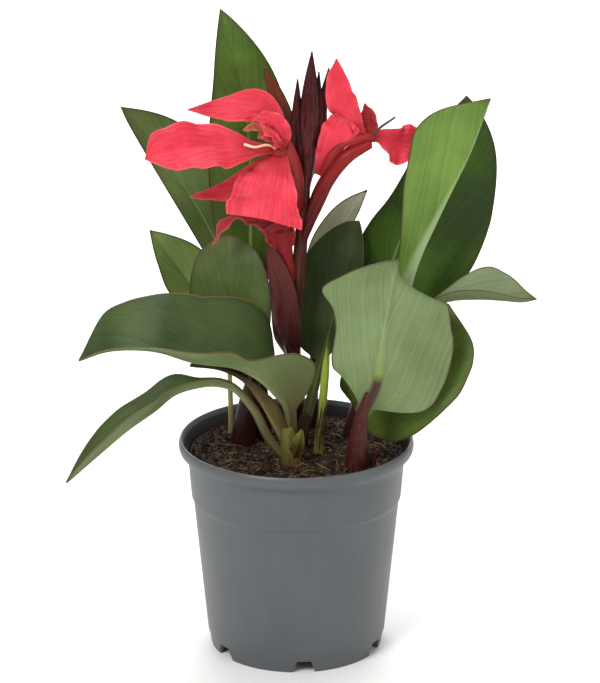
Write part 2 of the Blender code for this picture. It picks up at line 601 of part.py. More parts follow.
def main():
    clear_scene()
    grey_plastic = finish_of("pot_plastic", (0.15, 0.155, 0.165), 0.45)
    soil_brown = finish_of("potting_soil", (0.05, 0.03, 0.02), 0.95)
    stem_purple = finish_of("stem_purple", (0.12, 0.03, 0.03), 0.5)
    leaf_green = finish_of("leaf_green", (0.05, 0.12, 0.03), 0.45)
    bud_maroon = finish_of("bud_maroon", (0.06, 0.01, 0.015), 0.45)
    petal_red = finish_of("petal_red", (0.75, 0.04, 0.07), 0.5)
    style_cream = finish_of("style_cream", (0.85, 0.72, 0.5), 0.5)
    make_pot(grey_plastic)
    soil = make_soil(soil_brown)
    fat = {}
    for name, (path, radii) in STEMS.items():
        add_tube(name, path, radii, stem_purple)
        fat[name] = as_helper(add_tube(name + "_cutter", path, radii, stem_purple, grow=GAP))
    cut(soil, [fat[name] for name in STEMS])
    for name, spec in LEAVES.items():
        leaf = add_blade(name, spec, leaf_green)
        cut(leaf, [fat[GROWS_FROM[name]]])
    for name, (path, radii) in CALYXES.items():
        calyx = add_tube(name, path, radii, bud_maroon, BUD_SIDES)
        cut(calyx, [fat["flower_stem"]])
        fat[name] = as_helper(add_tube(name + "_cutter", path, radii, bud_maroon, BUD_SIDES, grow=GAP))
    buds = [add_tube("bud", path, radii, bud_maroon, BUD_SIDES, 6) for path, radii in BUDS]
    cluster = fuse("bud_cluster", buds, bud_maroon)
    cut(cluster, [fat["flower_stem"], fat["bloom_left_calyx"], fat["bloom_right_calyx"]])
    for name, (hub, blades, holder) in PETALS.items():
        pieces = [add_tube("hub", *hub, petal_red, BUD_SIDES, 4)]
        pieces += [add_blade("petal", spec, petal_red, 8, PETAL_ACROSS, PETAL_THICKNESS) for spec in blades]
        bloom = fuse(name, pieces, petal_red)
        cut(bloom, [fat[holder]])
    for name, (path, radii, holder) in STYLES.items():
        style = add_tube(name, path, radii, style_cream, 6, 6)
        socket = as_helper(add_tube("socket", *PETALS[holder][0], petal_red, BUD_SIDES, 4, grow=GAP))
        cut(style, [socket])
        bpy.data.objects.remove(socket)
    for cutter in fat.values():
        bpy.data.objects.remove(cutter)


main()
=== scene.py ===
# %% [markdown]
# # A canna lily in its nursery pot
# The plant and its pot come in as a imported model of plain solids. This lesson dresses every solid:
# leaves get veins, ribs and dark margins, petals get ripples, the soil gets crumbs and roots, and the
# pot gets the soft shine of moulded plastic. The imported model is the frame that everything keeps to.

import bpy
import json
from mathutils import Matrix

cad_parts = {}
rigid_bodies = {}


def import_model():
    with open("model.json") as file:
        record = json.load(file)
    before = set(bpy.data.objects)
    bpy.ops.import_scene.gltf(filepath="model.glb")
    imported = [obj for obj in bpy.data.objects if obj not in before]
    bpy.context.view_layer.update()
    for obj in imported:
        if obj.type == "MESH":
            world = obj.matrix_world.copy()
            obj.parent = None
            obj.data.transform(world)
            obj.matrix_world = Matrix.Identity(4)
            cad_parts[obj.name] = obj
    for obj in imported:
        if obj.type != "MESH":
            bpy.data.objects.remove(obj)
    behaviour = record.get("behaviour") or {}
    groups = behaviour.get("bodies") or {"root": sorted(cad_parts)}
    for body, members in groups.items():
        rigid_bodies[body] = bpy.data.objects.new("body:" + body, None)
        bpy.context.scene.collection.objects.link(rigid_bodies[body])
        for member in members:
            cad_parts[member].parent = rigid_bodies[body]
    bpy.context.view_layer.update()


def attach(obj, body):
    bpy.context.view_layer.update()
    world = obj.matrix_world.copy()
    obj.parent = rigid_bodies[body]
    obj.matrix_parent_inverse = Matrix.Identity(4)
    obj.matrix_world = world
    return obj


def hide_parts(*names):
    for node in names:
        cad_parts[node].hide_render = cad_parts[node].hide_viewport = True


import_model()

# %% [markdown]
# ## Units, colours and nodes
# Lengths below are written in millimetres, as a grower would measure them, and turned into metres
# when a mesh is made. Colours are written as sRGB hex values, as read off a colour card. Blender
# mixes light in linear values, so one function converts them. A noise's scale counts its cells to the
# metre: 24 gives soft clouds about 40 mm wide, and 1400 gives specks about 0.7 mm wide.

# %% Helpers for colours and material nodes
import json
import math

import bpy
import numpy as np
from mathutils import Vector, noise

MM = 0.001


def linear(colour):
    """An sRGB hex colour as the linear values that Blender's sockets take."""
    parts = [int(colour[i:i + 2], 16) / 255 for i in (1, 3, 5)]
    return tuple(v / 12.92 if v <= 0.04045 else ((v + 0.055) / 1.055) ** 2.4 for v in parts) + (1.0,)


def add_node(tree, kind, inputs=(), stops=None, out=0, **settings):
    """Add one node with its settings, input values and links, and hand back one of its outputs."""
    made = tree.nodes.new("ShaderNode" + kind)
    for name, value in settings.items():
        setattr(made, name, value)
    if stops:
        while len(made.color_ramp.elements) < len(stops):
            made.color_ramp.elements.new(0.5)
        for element, (position, colour) in zip(made.color_ramp.elements, stops):
            element.position = position
            element.color = linear(colour)
    for name, value in inputs.items() if isinstance(inputs, dict) else enumerate(inputs):
        if isinstance(value, bpy.types.NodeSocket):
            tree.links.new(value, made.inputs[name])
        else:
            made.inputs[name].default_value = value
    return made.outputs[out]


def new_material(name, roughness, **values):
    """A material with its Principled shader, and the values that are the same all over it."""
    material = bpy.data.materials.new(name)
    material.use_nodes = True
    shader = material.node_tree.nodes["Principled BSDF"]
    shader.inputs["Roughness"].default_value = roughness
    for socket, value in values.items():
        shader.inputs[socket.replace("_", " ")].default_value = value
    return material, material.node_tree


def tint(tree, base, measure, limits, colour):
    """Lay a colour over a base. Its share goes from limits[2] to limits[3] between limits[0] and limits[1]."""
    share = add_node(tree, "MapRange", [measure, *limits])
    return add_node(tree, "Mix", {0: share, 6: base, 7: linear(colour)}, out=2, data_type="RGBA")


def finish_skin(skin, colour, height, strength, depth, gloss=None):
    """Link a finished colour, the height of its relief and its roughness to the shader."""
    tree = skin.node_tree
    bump = add_node(tree, "Bump", {"Height": height, "Strength": strength, "Distance": depth})
    for socket, value in (("Base Color", colour), ("Normal", bump), ("Roughness", gloss)):
        if value is not None:
            tree.links.new(value, tree.nodes["Principled BSDF"].inputs[socket])
    return skin


print("helpers ready; a mid grey reads", [round(v, 3) for v in linear("#808080")])

# %% [markdown]
# ## The camera
# The photograph was taken from a little above the plant, with a long lens from about two metres, so
# the pot's rim shows as a narrow ellipse. A long lens keeps near and far leaves in true proportion.

# %% Camera
LENS, SENSOR = 163.9, 36.0
CAMERA_PLACE = (0.0027, -2.1085, 0.9410)
LOOKING_DOWN = math.radians(18.62)

camera_data = bpy.data.cameras.new("studio_camera")
camera_data.lens = LENS
camera_data.sensor_width = SENSOR
camera_data.clip_end = 20.0
camera = bpy.data.objects.new("studio_camera", camera_data)
camera.location = CAMERA_PLACE
camera.rotation_euler = (math.radians(90) - LOOKING_DOWN, 0.0, 0.0)
bpy.context.scene.collection.objects.link(camera)
bpy.context.scene.camera = camera
print("camera stands", round(-camera.location.y, 2), "m in front of the pot")

# %% [markdown]
# ## Studio light and floor
# The plant stands on plain pale paper under large soft lamps. Large lamps give the broad, gentle
# shine on the leaves and the soft shadow at the foot of the pot. White all round lifts the shadows,
# as the white walls of a photographer's tent do. A lamp behind keeps the paper white to the top.

# %% Lamps, surroundings and floor
def add_lamp(name, place, aim, size, power):
    """A square area lamp that looks at a point."""
    data = bpy.data.lights.new(name, "AREA")
    data.energy = power
    data.size = size
    lamp = bpy.data.objects.new(name, data)
    lamp.location = place
    lamp.rotation_euler = (Vector(aim) - Vector(place)).to_track_quat("-Z", "Y").to_euler()
    bpy.context.scene.collection.objects.link(lamp)


add_lamp("key_lamp", (-1.0, -1.5, 1.7), (0, 0, 0.22), 0.8, 35)
add_lamp("fill_lamp", (1.6, -1.2, 0.7), (0, 0, 0.2), 1.2, 8)
add_lamp("top_lamp", (0.2, 0.5, 1.9), (0, 0, 0.25), 1.2, 14)
add_lamp("paper_lamp", (0.0, 2.6, 1.9), (0, 2.2, 0), 2.2, 75)
world = bpy.data.worlds.new("white_tent")
world.use_nodes = True
world.node_tree.nodes["Background"].inputs["Color"].default_value = linear("#ffffff")
world.node_tree.nodes["Background"].inputs["Strength"].default_value = 0.47
bpy.context.scene.world = world
bpy.context.scene.view_settings.view_transform = "Standard"

floor_mesh = bpy.data.meshes.new("paper_floor")
floor_mesh.from_pydata([(-6, -6, 0), (6, -6, 0), (6, 6, 0), (-6, 6, 0)], [], [(0, 1, 2, 3)])
floor = bpy.data.objects.new("paper_floor", floor_mesh)
bpy.context.scene.collection.objects.link(floor)
# Matt paper scatters all its light, so the floor has no shine. Its fibres show as a faint grain of 1 mm.
paper, tree = new_material("matt_white_paper", 0.9, Base_Color=linear("#f6f6f4"))
grain = add_node(tree, "TexNoise", {"Scale": 900.0, "Detail": 3.0})
finish_skin(paper, None, grain, 0.04, 0.0002)
floor_mesh.materials.append(paper)

# %% [markdown]
# ## Curves in space
# A leaf, a petal and a stalk all follow a line. The line is given by a few points, and a smooth curve
# is drawn through them. Directions and radii are given at even steps and read off in between.

# %% Smooth lines
def unit(vector):
    """The vector or row of vectors at length 1."""
    vector = np.asarray(vector, float)
    return vector / np.maximum(np.linalg.norm(vector, axis=-1, keepdims=True), 1e-9)


def run_along(points):
    """How far along the line each point lies."""
    return np.concatenate([[0.0], np.cumsum(np.linalg.norm(np.diff(points, axis=0), axis=1))])


def ease(t, low, high, slope_low, slope_high):
    """A smooth way from one value to the next, with a given slope at each end."""
    return ((2 * t**3 - 3 * t**2 + 1) * low + (t**3 - 2 * t**2 + t) * slope_low
            + (3 * t**2 - 2 * t**3) * high + (t**3 - t**2) * slope_high)


def smooth_path(points, count):
    """count points along one smooth curve through the given points, at even steps."""
    points = np.asarray(points, float)
    chord = run_along(points)
    slopes = np.gradient(points, chord, axis=0)
    fine = []
    for i in range(len(points) - 1):
        span = chord[i + 1] - chord[i]
        t = np.linspace(0.0, 1.0, 24, endpoint=i == len(points) - 2)[:, None]
        fine.append(ease(t, points[i], points[i + 1], slopes[i] * span, slopes[i + 1] * span))
    fine = np.concatenate(fine)
    run = run_along(fine)
    share = np.linspace(0.0, 1.0, count)
    return np.stack([np.interp(share * run[-1], run, fine[:, k]) for k in range(3)], axis=1)


def spread(values, share):
    """Values given at even steps from base to tip, read off one smooth curve at each share of the length."""
    values = np.asarray(values, float)
    step = np.clip(share, 0.0, 1.0) * (len(values) - 1)
    low = np.minimum(step.astype(int), len(values) - 2)
    t = step - low
    if values.ndim > 1:
        t = t[:, None]
    slope = np.gradient(values, axis=0)
    return ease(t, values[low], values[low + 1], slope[low], slope[low + 1])


test_line = smooth_path([(0, 0, 0), (3, 4, 0)], 9)
print("a straight line from (0, 0) to (3, 4) measures", round(float(run_along(test_line)[-1]), 2))

# %% [markdown]
# ## Meshes with measured surfaces
# Each mesh carries a few numbers on its points, such as how far a point is from the leaf's rib or
# from its margin, in millimetres. Materials read those numbers, so a vein or a red margin keeps its
# real width however the blade bends. Flat images aren't needed.

# %% Making a mesh piece
def add_piece(name, points, faces, finishes, marks=None, which=None, sharp=40.0):
    """A mesh piece from points in millimetres, with its materials and its named numbers on points."""
    mesh = bpy.data.meshes.new(name)
    mesh.from_pydata((np.asarray(points, float) * MM).tolist(), [], [list(f) for f in faces])
    for finish in finishes:
        mesh.materials.append(finish)
    if which is not None:
        mesh.polygons.foreach_set("material_index", np.asarray(which, np.int32))
    for mark, values in (marks or {}).items():
        held = mesh.attributes.new(mark, "FLOAT", "POINT")
        held.data.foreach_set("value", np.asarray(values, np.float32).ravel())
    mesh.shade_smooth()
    mesh.set_sharp_from_angle(angle=math.radians(sharp))
    piece = bpy.data.objects.new(name, mesh)
    bpy.context.scene.collection.objects.link(piece)
    return piece


def place(piece, node, slot):
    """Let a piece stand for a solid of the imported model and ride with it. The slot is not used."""
    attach(piece, "root")
    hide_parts(node)


def add_body(name, ending, body, skins, slot, sharp=40.0):
    """One body as a finished piece, which stands for the solid of that name."""
    points, faces, which, marks = body
    place(add_piece(name + ending, points, faces, skins, marks, which, sharp), name, slot)
    return len(faces)


print("pieces are made in millimetres and kept in metres")

# %% [markdown]
# ## Leaf skin
# A canna leaf has one strong rib, and fine veins that leave it and sweep forward to the margin, about
# 1.7 mm apart, gathered into shallow pleats 6 to 8 mm wide. The upper skin is deep green with a satin
# wax. The underside is paler and greyer, because a bloom of wax scatters the light. The margin is a
# hair-thin line of dull red. The veins are even but never ruled, so noise bends them and changes their
# strength, and a second noise, read across the veins alone, makes whole bands lighter or darker.

# %% Leaf materials
FINE_VEIN = 1.7  # from one fine vein to the next, drawn a little coarser than life so that it shows
PLEAT = 7.5
VEIN_LEAN = 3.8  # how far along the blade the veins' count runs for each step across them


def leaf_skin(name, flesh, shade, vein, rib, roughness, margin="#48241f", veins=0.3, rib_width=1.6,
              band=5.0, stalk_end=0.2):
    """Waxed leaf skin: fleshy ground, sweeping veins, a rib that changes colour along it and a margin."""
    skin, tree = new_material(name, roughness, IOR=1.43, Specular_IOR_Level=0.3)
    mark = {m: add_node(tree, "Attribute", out="Fac", attribute_name=m)
            for m in ("vein", "edge", "reach", "along")}
    spot = add_node(tree, "TexCoord", out="Object")
    cloud = add_node(tree, "TexNoise", {"Vector": spot, "Scale": 24.0, "Detail": 4.0})
    colour = add_node(tree, "ValToRGB", [cloud], [(0.34, shade), (0.64, flesh)])

    wander = add_node(tree, "Math", [cloud, 5.0, mark["vein"]], operation="MULTIPLY_ADD")
    fine = add_node(tree, "Math", [wander, 2 * math.pi / FINE_VEIN], operation="MULTIPLY")
    fine = add_node(tree, "Math", [fine], operation="SINE")
    fine = add_node(tree, "Math", [fine, 0.6], operation="MULTIPLY")
    across_veins = add_node(tree, "CombineXYZ", [wander])
    bands = add_node(tree, "TexNoise", {"Vector": across_veins, "Scale": 0.3, "Detail": 4.0, "Roughness": 0.7})
    relief = add_node(tree, "Math", [bands, 5.0, fine], operation="MULTIPLY_ADD")
    colour = tint(tree, colour, relief, (2.1, 3.7, 0.0, veins), vein)
    colour = tint(tree, colour, bands, (0.5, 0.3, 0.0, veins * 1.4), shade)

    # The rib narrows towards the tip and fades into the flesh.
    left_over = add_node(tree, "Math", [1.04, mark["along"]], operation="SUBTRACT")
    taper = add_node(tree, "Math", [left_over, 1.8], operation="POWER")
    slim = add_node(tree, "Math", [mark["reach"], taper], operation="DIVIDE")
    near_rib = add_node(tree, "MapRange", [slim, rib_width * 0.5, rib_width * 1.6, 1.0, 0.0])
    fading = add_node(tree, "MapRange", [mark["along"], 0.3, 0.85, 0.95, 0.25])
    rib_share = add_node(tree, "Math", [near_rib, fading], operation="MULTIPLY")
    rib_stops = rib if isinstance(rib, list) else [(0.0, rib), (1.0, rib)]
    rib_tone = add_node(tree, "ValToRGB", [mark["along"]], rib_stops)
    colour = add_node(tree, "Mix", {0: rib_share, 6: colour, 7: rib_tone}, out=2, data_type="RGBA")

    # A darker border, the thin red margin, a dry tip and a browner stalk end.
    colour = tint(tree, colour, mark["edge"], (0.0, band, 0.55, 0.0), shade)
    colour = tint(tree, colour, mark["edge"], (0.55, 1.2, 0.9, 0.0), margin)
    colour = tint(tree, colour, mark["along"], (0.965, 0.995, 0.0, 0.8), "#5b4630")
    colour = tint(tree, colour, mark["along"], (stalk_end * 0.3, stalk_end, 0.85, 0.0), "#4a4022")
    speck = add_node(tree, "TexNoise", {"Vector": spot, "Scale": 1400.0, "Detail": 2.0})
    height = add_node(tree, "Math", [speck, 0.5, relief], operation="MULTIPLY_ADD")
    gloss = add_node(tree, "MapRange", [cloud, 0.3, 0.7, roughness - 0.05, roughness + 0.08])
    return finish_skin(skin, colour, height, 0.3, 0.0002, gloss)


# Upper sides: a thin smooth wax gives a satin shine. Each leaf has its own green, and one is a lighter copy
# with painted light.
GRASS_GREEN = leaf_skin("waxed_leaf_grass_green", "#547022", "#33481a", "#74903c", "#86a04c", 0.42)
GREYED_GREEN = leaf_skin("waxed_leaf_greyed_green", "#5b6e38", "#46582a", "#7a8c54", "#7c8e50", 0.48)
# Painted light: a lighter copy of the upper skin, for the small leaf at the left, which looks brightly lit.
LIT_LEAF_GREEN = leaf_skin("waxed_leaf_green_painted_light", "#728a48", "#5a7236", "#8aa060", "#8ea060", 0.46)
MID_GREEN = leaf_skin("waxed_leaf_mid_green", "#566c28", "#3c501c", "#70883c", "#7c8e44", 0.46)
OLIVE_GREEN = leaf_skin("waxed_leaf_olive_green", "#4d5e2e", "#394820", "#62743e", "#66703e", 0.44)
DEEP_GREEN = leaf_skin("waxed_leaf_deep_green", "#425428", "#2a3a1a", "#52643a", "#5e6a36", 0.42, "#6a5232")
DARK_GREEN = leaf_skin("waxed_leaf_dark_green", "#3c5814", "#263a0e", "#587430", "#6f8840", 0.4)

# Undersides: a bloom of loose wax scatters the light, so they look paler, greyer and almost matt.
BLOOMED = leaf_skin("bloomed_leaf_underside", "#748657", "#5e7042", "#9aa982",
                    [(0.0, "#351618"), (0.23, "#44201f"), (0.29, "#7f944a"), (0.5, "#8f9f68"),
                     (1.0, "#8d9a76")],
                    0.55, veins=0.36, rib_width=4.2, band=3.0, stalk_end=0.05)
PALE_UPPER = leaf_skin("bloomed_pale_leaf", "#7f8e69", "#6a7a54", "#97a582", "#8a986e", 0.52, "#6a5a30",
                       veins=0.4, band=2.0)
# Painted light: a much paler copy of the bloomed skin, on both sides of the small leaf at the back, which lies
# in shade.
PALE_LEAF_PAINTED_LIGHT = leaf_skin("pale_leaf_skin_painted_light", "#cdd0b2", "#a4ab8a", "#dde0c8", "#c0c4a2", 0.55, "#6a5038",
                     veins=0.4, band=2.0)
GREY_UNDER = leaf_skin("greyed_leaf_underside", "#6d7c50", "#58683c", "#8a986e", "#8b9468", 0.52,
                       band=3.0, stalk_end=0.38)
FRESH_UNDER = leaf_skin("fresh_leaf_underside", "#668436", "#4d6a24", "#8ca45c", "#9fae84", 0.48, veins=0.34,
                        rib_width=9.0, band=3.0, stalk_end=0.03)

# A leaf stalk is a channel with little flesh, so it reads brown and glossy.
LEAF_STALK = leaf_skin("grooved_leaf_stalk", "#544a24", "#3c3018", "#6a6036", "#6c6438", 0.42, veins=0.4)
print("leaf skins:", [m.name for m in bpy.data.materials if "leaf" in m.name])

# %% [markdown]
# ## Blades
# One function lays out every leaf, bract and petal. It walks along the rib, and at each step it turns
# each half up or down by its own angle and curls it towards the margin. Small extra swells follow the
# veins, so that the pleats are real shape and not only shading. The under sheet drops away from the
# upper one near the rib, where the real rib stands proud.

# %% Blade surface
def half_width(width, share, stalk, powers):
    """One half's width along the blade: from its widest value, or from widths at even steps."""
    along = np.clip((share - stalk) / (1.0 - stalk), 0.0, 1.0)
    if isinstance(width, tuple):
        return np.maximum(spread(width, along), 0.0)
    peak = powers[0] / (powers[0] + powers[1])
    return width * (along / peak) ** powers[0] * ((1.0 - along) / (1.0 - peak)) ** powers[1]


def blade_spec(path, face, width, fold, powers=(0.7, 1.0), **more):
    """One blade's measures: its rib's path, the way its upper side looks, and its two halves.

    A face, fold or pair of powers that is given once holds for the whole blade."""
    spec = {"path": path, "face": face if isinstance(face, list) else [face, face], "width": width}
    for name, value in (("fold", fold), ("powers", powers), ("curl", more.pop("curl", (0, 0)))):
        spec[name] = value if isinstance(value[0], tuple) else (value, value)
    return {**spec, **more}


def blade_surface(spec, stations, across):
    """The middle surface, its normals, each point's share of the length and each half's width."""
    share = np.linspace(0.0, 1.0, stations)
    path = smooth_path(spec["path"], stations)
    tangent = unit(np.gradient(path, axis=0))
    face = spread(spec["face"], share)
    face = unit(face - tangent * np.sum(face * tangent, axis=1, keepdims=True))
    side = np.cross(tangent, face)
    stalk_half = spec.get("stalk_half", 1.0) * (1.0 - share) ** 0.7
    columns, widths = [], []
    for t in across:
        which = 0 if t < 0 else 1
        width = half_width(spec["width"][which], share, spec.get("stalk", 0.0), spec["powers"][which])
        width = np.sqrt(width**2 + stalk_half**2) + 0.35
        fold = np.radians(spread(spec["fold"][which], share))
        curl = np.radians(spread(spec["curl"][which], share))
        steps = np.linspace(0.0, abs(t), 7)
        middles = (steps[1:] + steps[:-1]) / 2
        angle = fold[:, None] + curl[:, None] * middles[None, :]
        out = np.cos(angle).sum(1) * abs(t) / 6 * width
        rise = np.sin(angle).sum(1) * abs(t) / 6 * width
        columns.append(path + side * (out * (1 if which else -1))[:, None] + face * rise[:, None])
        widths.append(width)
    grid = np.stack(columns, axis=1)
    normal = unit(np.cross(np.gradient(grid, axis=1), np.gradient(grid, axis=0)))
    return grid, normal, share, np.stack(widths, axis=1)


print("a blade's widest place for powers 0.7 and 1.0 is at", round(0.7 / 1.7, 2), "of its length")

# %% [markdown]
# The sheets are joined all round into one closed skin. Each point is given its distance to the rib
# and to the margin, and the number that runs across the veins.

# %% Blade mesh
VEIN_SWEEP = 3.6  # how far forward a vein runs for each step out from the rib


def blade_mesh(spec, seed, stations=70, columns=33, edge=0.55, pleat=0.08, ripple=0.5, vein_step=PLEAT):
    """Points, faces, material numbers and marks of one blade with pleats, ripples and a rib."""
    across = np.linspace(-1.0, 1.0, columns)
    grid, normal, share, width = blade_surface(spec, stations, across)
    length = run_along(smooth_path(spec["path"], 200))[-1]
    ratio = np.abs(across)[None, :]
    reach = ratio * width
    margin = (1.0 - ratio) * width
    vein = (share[:, None] * length - reach * (VEIN_SWEEP + ratio)) / VEIN_LEAN
    random = np.random.default_rng(seed)
    phase = random.uniform(0, 6.28, 6)
    wide = width / width.max()
    swell = pleat * np.sin(2 * math.pi * vein / vein_step) * np.clip(ratio * 3, 0, 1) * wide
    left = across[None, :] < 0
    turn = 2 * math.pi * share[:, None]
    wave = np.where(left, np.sin(turn * 2.3 + phase[0]) + 0.6 * np.sin(turn * 5.1 + phase[1]),
                    np.sin(turn * 2.7 + phase[2]) + 0.6 * np.sin(turn * 4.6 + phase[3]))
    swell = swell + ripple * wave * ratio**2 * wide
    groove = 0.35 * np.exp(-((reach / 1.3) ** 2)) * wide
    rib = spread(spec.get("rib", (edge, edge)), share)[:, None]
    under_drop = edge + np.maximum(rib - edge, 0) * np.exp(-((reach / np.maximum(rib, edge)) ** 2) * 2.2)
    upper = grid + normal * (edge / 2 + swell - groove)[:, :, None]
    under = grid - normal * (under_drop - edge / 2 - swell)[:, :, None]
    below = stations * columns
    index = np.arange(below).reshape(stations, columns)
    a, b = index[:-1, :-1].ravel(), index[:-1, 1:].ravel()
    c, d = index[1:, 1:].ravel(), index[1:, :-1].ravel()
    top = np.stack([a, b, c, d], axis=1)
    bottom = np.stack([a, d, c, b], axis=1) + below
    rim = np.concatenate([index[:, 0], index[-1, 1:], index[-2::-1, -1], index[0, -2:0:-1]])
    after = np.roll(rim, -1)
    hem = np.stack([rim, after, after + below, rim + below], axis=1)
    points = np.concatenate([upper.reshape(-1, 3), under.reshape(-1, 3)])
    faces = np.concatenate([top, bottom, hem])
    which = np.repeat([0, 1, 0], [len(top), len(bottom), len(hem)])
    flat = np.broadcast_to
    marks = {"vein": vein, "reach": reach, "edge": margin, "along": flat(share[:, None], width.shape),
             "across": flat(across[None, :], width.shape)}
    marks = {k: np.concatenate([v.ravel(), v.ravel()]) for k, v in marks.items()}
    return points, faces, which, marks


UP = (0, 0, 1)
VIEWER = (0, -1, 0)
BACK = (0, 1, 0)
print("blade meshes have", 70 * 33 * 2, "points each")

# %% [markdown]
# ## Leaves on the left
# The tall leaves at the back face the viewer and catch the light, so their upper skin is the freshest
# green. The two low leaves in front arch over and hang outside the pot. Each leaf is one blade, and its
# measures are those of the solid that it stands for, in millimetres and degrees.

# %% Leaves on the left
LEFT_LEAVES = {
    "leaf_top": (blade_spec(
        [(-28, 24, 234), (-32, 28, 265), (-33, 32, 300), (-33, 40, 350), (-38, 42, 404), (-53, 30, 466)],
        [VIEWER, VIEWER, (0.1, -1, 0.1), (0.2, -1, 0.2)], (30, 32), (14, 8),
        powers=((0.8, 1.0), (0.8, 0.9)), stalk=0.08, stalk_half=4, rib=(4, 1.2)), GRASS_GREEN, GREY_UNDER),
    "leaf_upper_left": (blade_spec(
        [(-29, 27, 216), (-36, 38, 240), (-48, 47, 268), (-72, 50, 317), (-98, 44, 360), (-123, 20, 398)],
        [VIEWER, VIEWER, (0.1, -1, 0.1), (0.3, -1, 0.3)], (12, 37), ((12, 12), (4, 4)),
        powers=((0.8, 0.8), (0.8, 1.0)), stalk=0.1, stalk_half=3.5, rib=(4, 1.2)), GREYED_GREEN, GREY_UNDER),
    "leaf_small_left": (blade_spec(
        [(-49, 31, 206), (-58, 33, 234), (-80, 32, 269), (-104, 18, 308)],
        [VIEWER, (0.1, -1, 0.1), (0.2, -1, 0.3)], (18, 24), ((30, 30), (10, 10)),
        powers=((0.9, 0.9), (0.9, 1.0)), stalk=0.1, stalk_half=2, rib=(3, 1.2)), LIT_LEAF_GREEN, GREY_UNDER),
    "leaf_centre_left": (blade_spec(
        [(-32, 5, 192), (-38, 4, 220), (-45, 2, 252), (-48, 3, 284), (-49, 12, 306)],
        [(0.1, -1, 0), (0.1, -1, 0.1), (0, -1, 0.4), (0, -0.6, 1)], (29, 28), (14, 4),
        powers=(0.7, 0.5), stalk=0.1, stalk_half=3.5, rib=(4, 1.2)), OLIVE_GREEN, GREY_UNDER),
    "leaf_inner_left": (blade_spec(
        [(-30, 7, 194), (-26, 9, 212), (-23, 9, 230), (-20, 8, 246)],
        [VIEWER, (0.1, -1, 0.1), (0, -1, 0.3)], (6, 7), (14, 14),
        stalk=0.1, stalk_half=2, rib=(2.5, 1.2)), OLIVE_GREEN, GREY_UNDER),
    "leaf_front_left": (blade_spec(
        [(-6, -27, 165), (-8, -32, 195), (-15, -37, 206), (-24, -42, 217), (-43, -48, 228), (-71, -54, 234),
         (-102, -55, 243), (-130, -50, 241), (-153, -40, 230)],
        [(0.3, 0.75, 0.55), (0.25, 0.5, 0.8), UP, UP, (-0.1, 0, 1)],
        ((4, 32, 34, 13, 26, 27, 17, 8, 4, 3, 0), (4, 33, 49, 52, 49, 47, 46, 41, 36, 28, 0)),
        ((34, 38, 30, 24), (42, 62, 52, 42)), stalk=0.12, stalk_half=5, rib=(4, 1.2)), DEEP_GREEN, GREY_UNDER),
    "leaf_narrow_left": (blade_spec(
        [(-6, -29, 158), (-15, -31, 178), (-27, -32, 200), (-36, -33, 212), (-52, -34, 221), (-75, -34, 224)],
        [(0.4, 0.7, 0.5), (0.3, 0.5, 0.7), UP, UP], ((5, 7, 9, 9, 7, 4, 2), (5, 7, 9, 10, 8, 5, 2)),
        (30, 20), stalk_half=4, rib=(3, 1.2)), LEAF_STALK, LEAF_STALK),
    "leaf_low_left": (blade_spec(
        [(-6, -28, 151), (-18, -28, 165), (-32, -31, 193), (-46, -36, 209), (-58, -40, 213), (-72, -46, 213),
         (-86, -50, 209), (-99, -54, 199), (-119, -58, 185), (-138, -62, 169), (-162, -66, 148)],
        [(0.5, 0.3, 0.8), (0.2, 0.1, 1), (-0.1, 0, 1), (-0.4, 0, 1), (-0.7, 0, 0.9)],
        (16, (3, 4, 5, 14, 15, 17, 19, 18, 14, 8, 0)), ((50, 36, 36), (36, 35, 35)),
        powers=(0.9, 0.8), stalk=0.3, stalk_half=4, rib=(4, 1.2)), DEEP_GREEN, GREY_UNDER),
}
for seed, (name, (spec, upper, under)) in enumerate(LEFT_LEAVES.items()):
    add_body(name, "_leaf", blade_mesh(spec, seed), [upper, under], "leaf_green", 60)
print("left leaves:", len(LEFT_LEAVES))

# %% [markdown]
# ## Leaves on the right
# The leaf in front has turned its back to the viewer, so its bloomed underside and its wide red rib
# show. Behind it a young leaf is still rolled up the length of one side, which makes a bright, narrow
# cone. The big leaf at the back and the arching one at the far right show their deep green face.

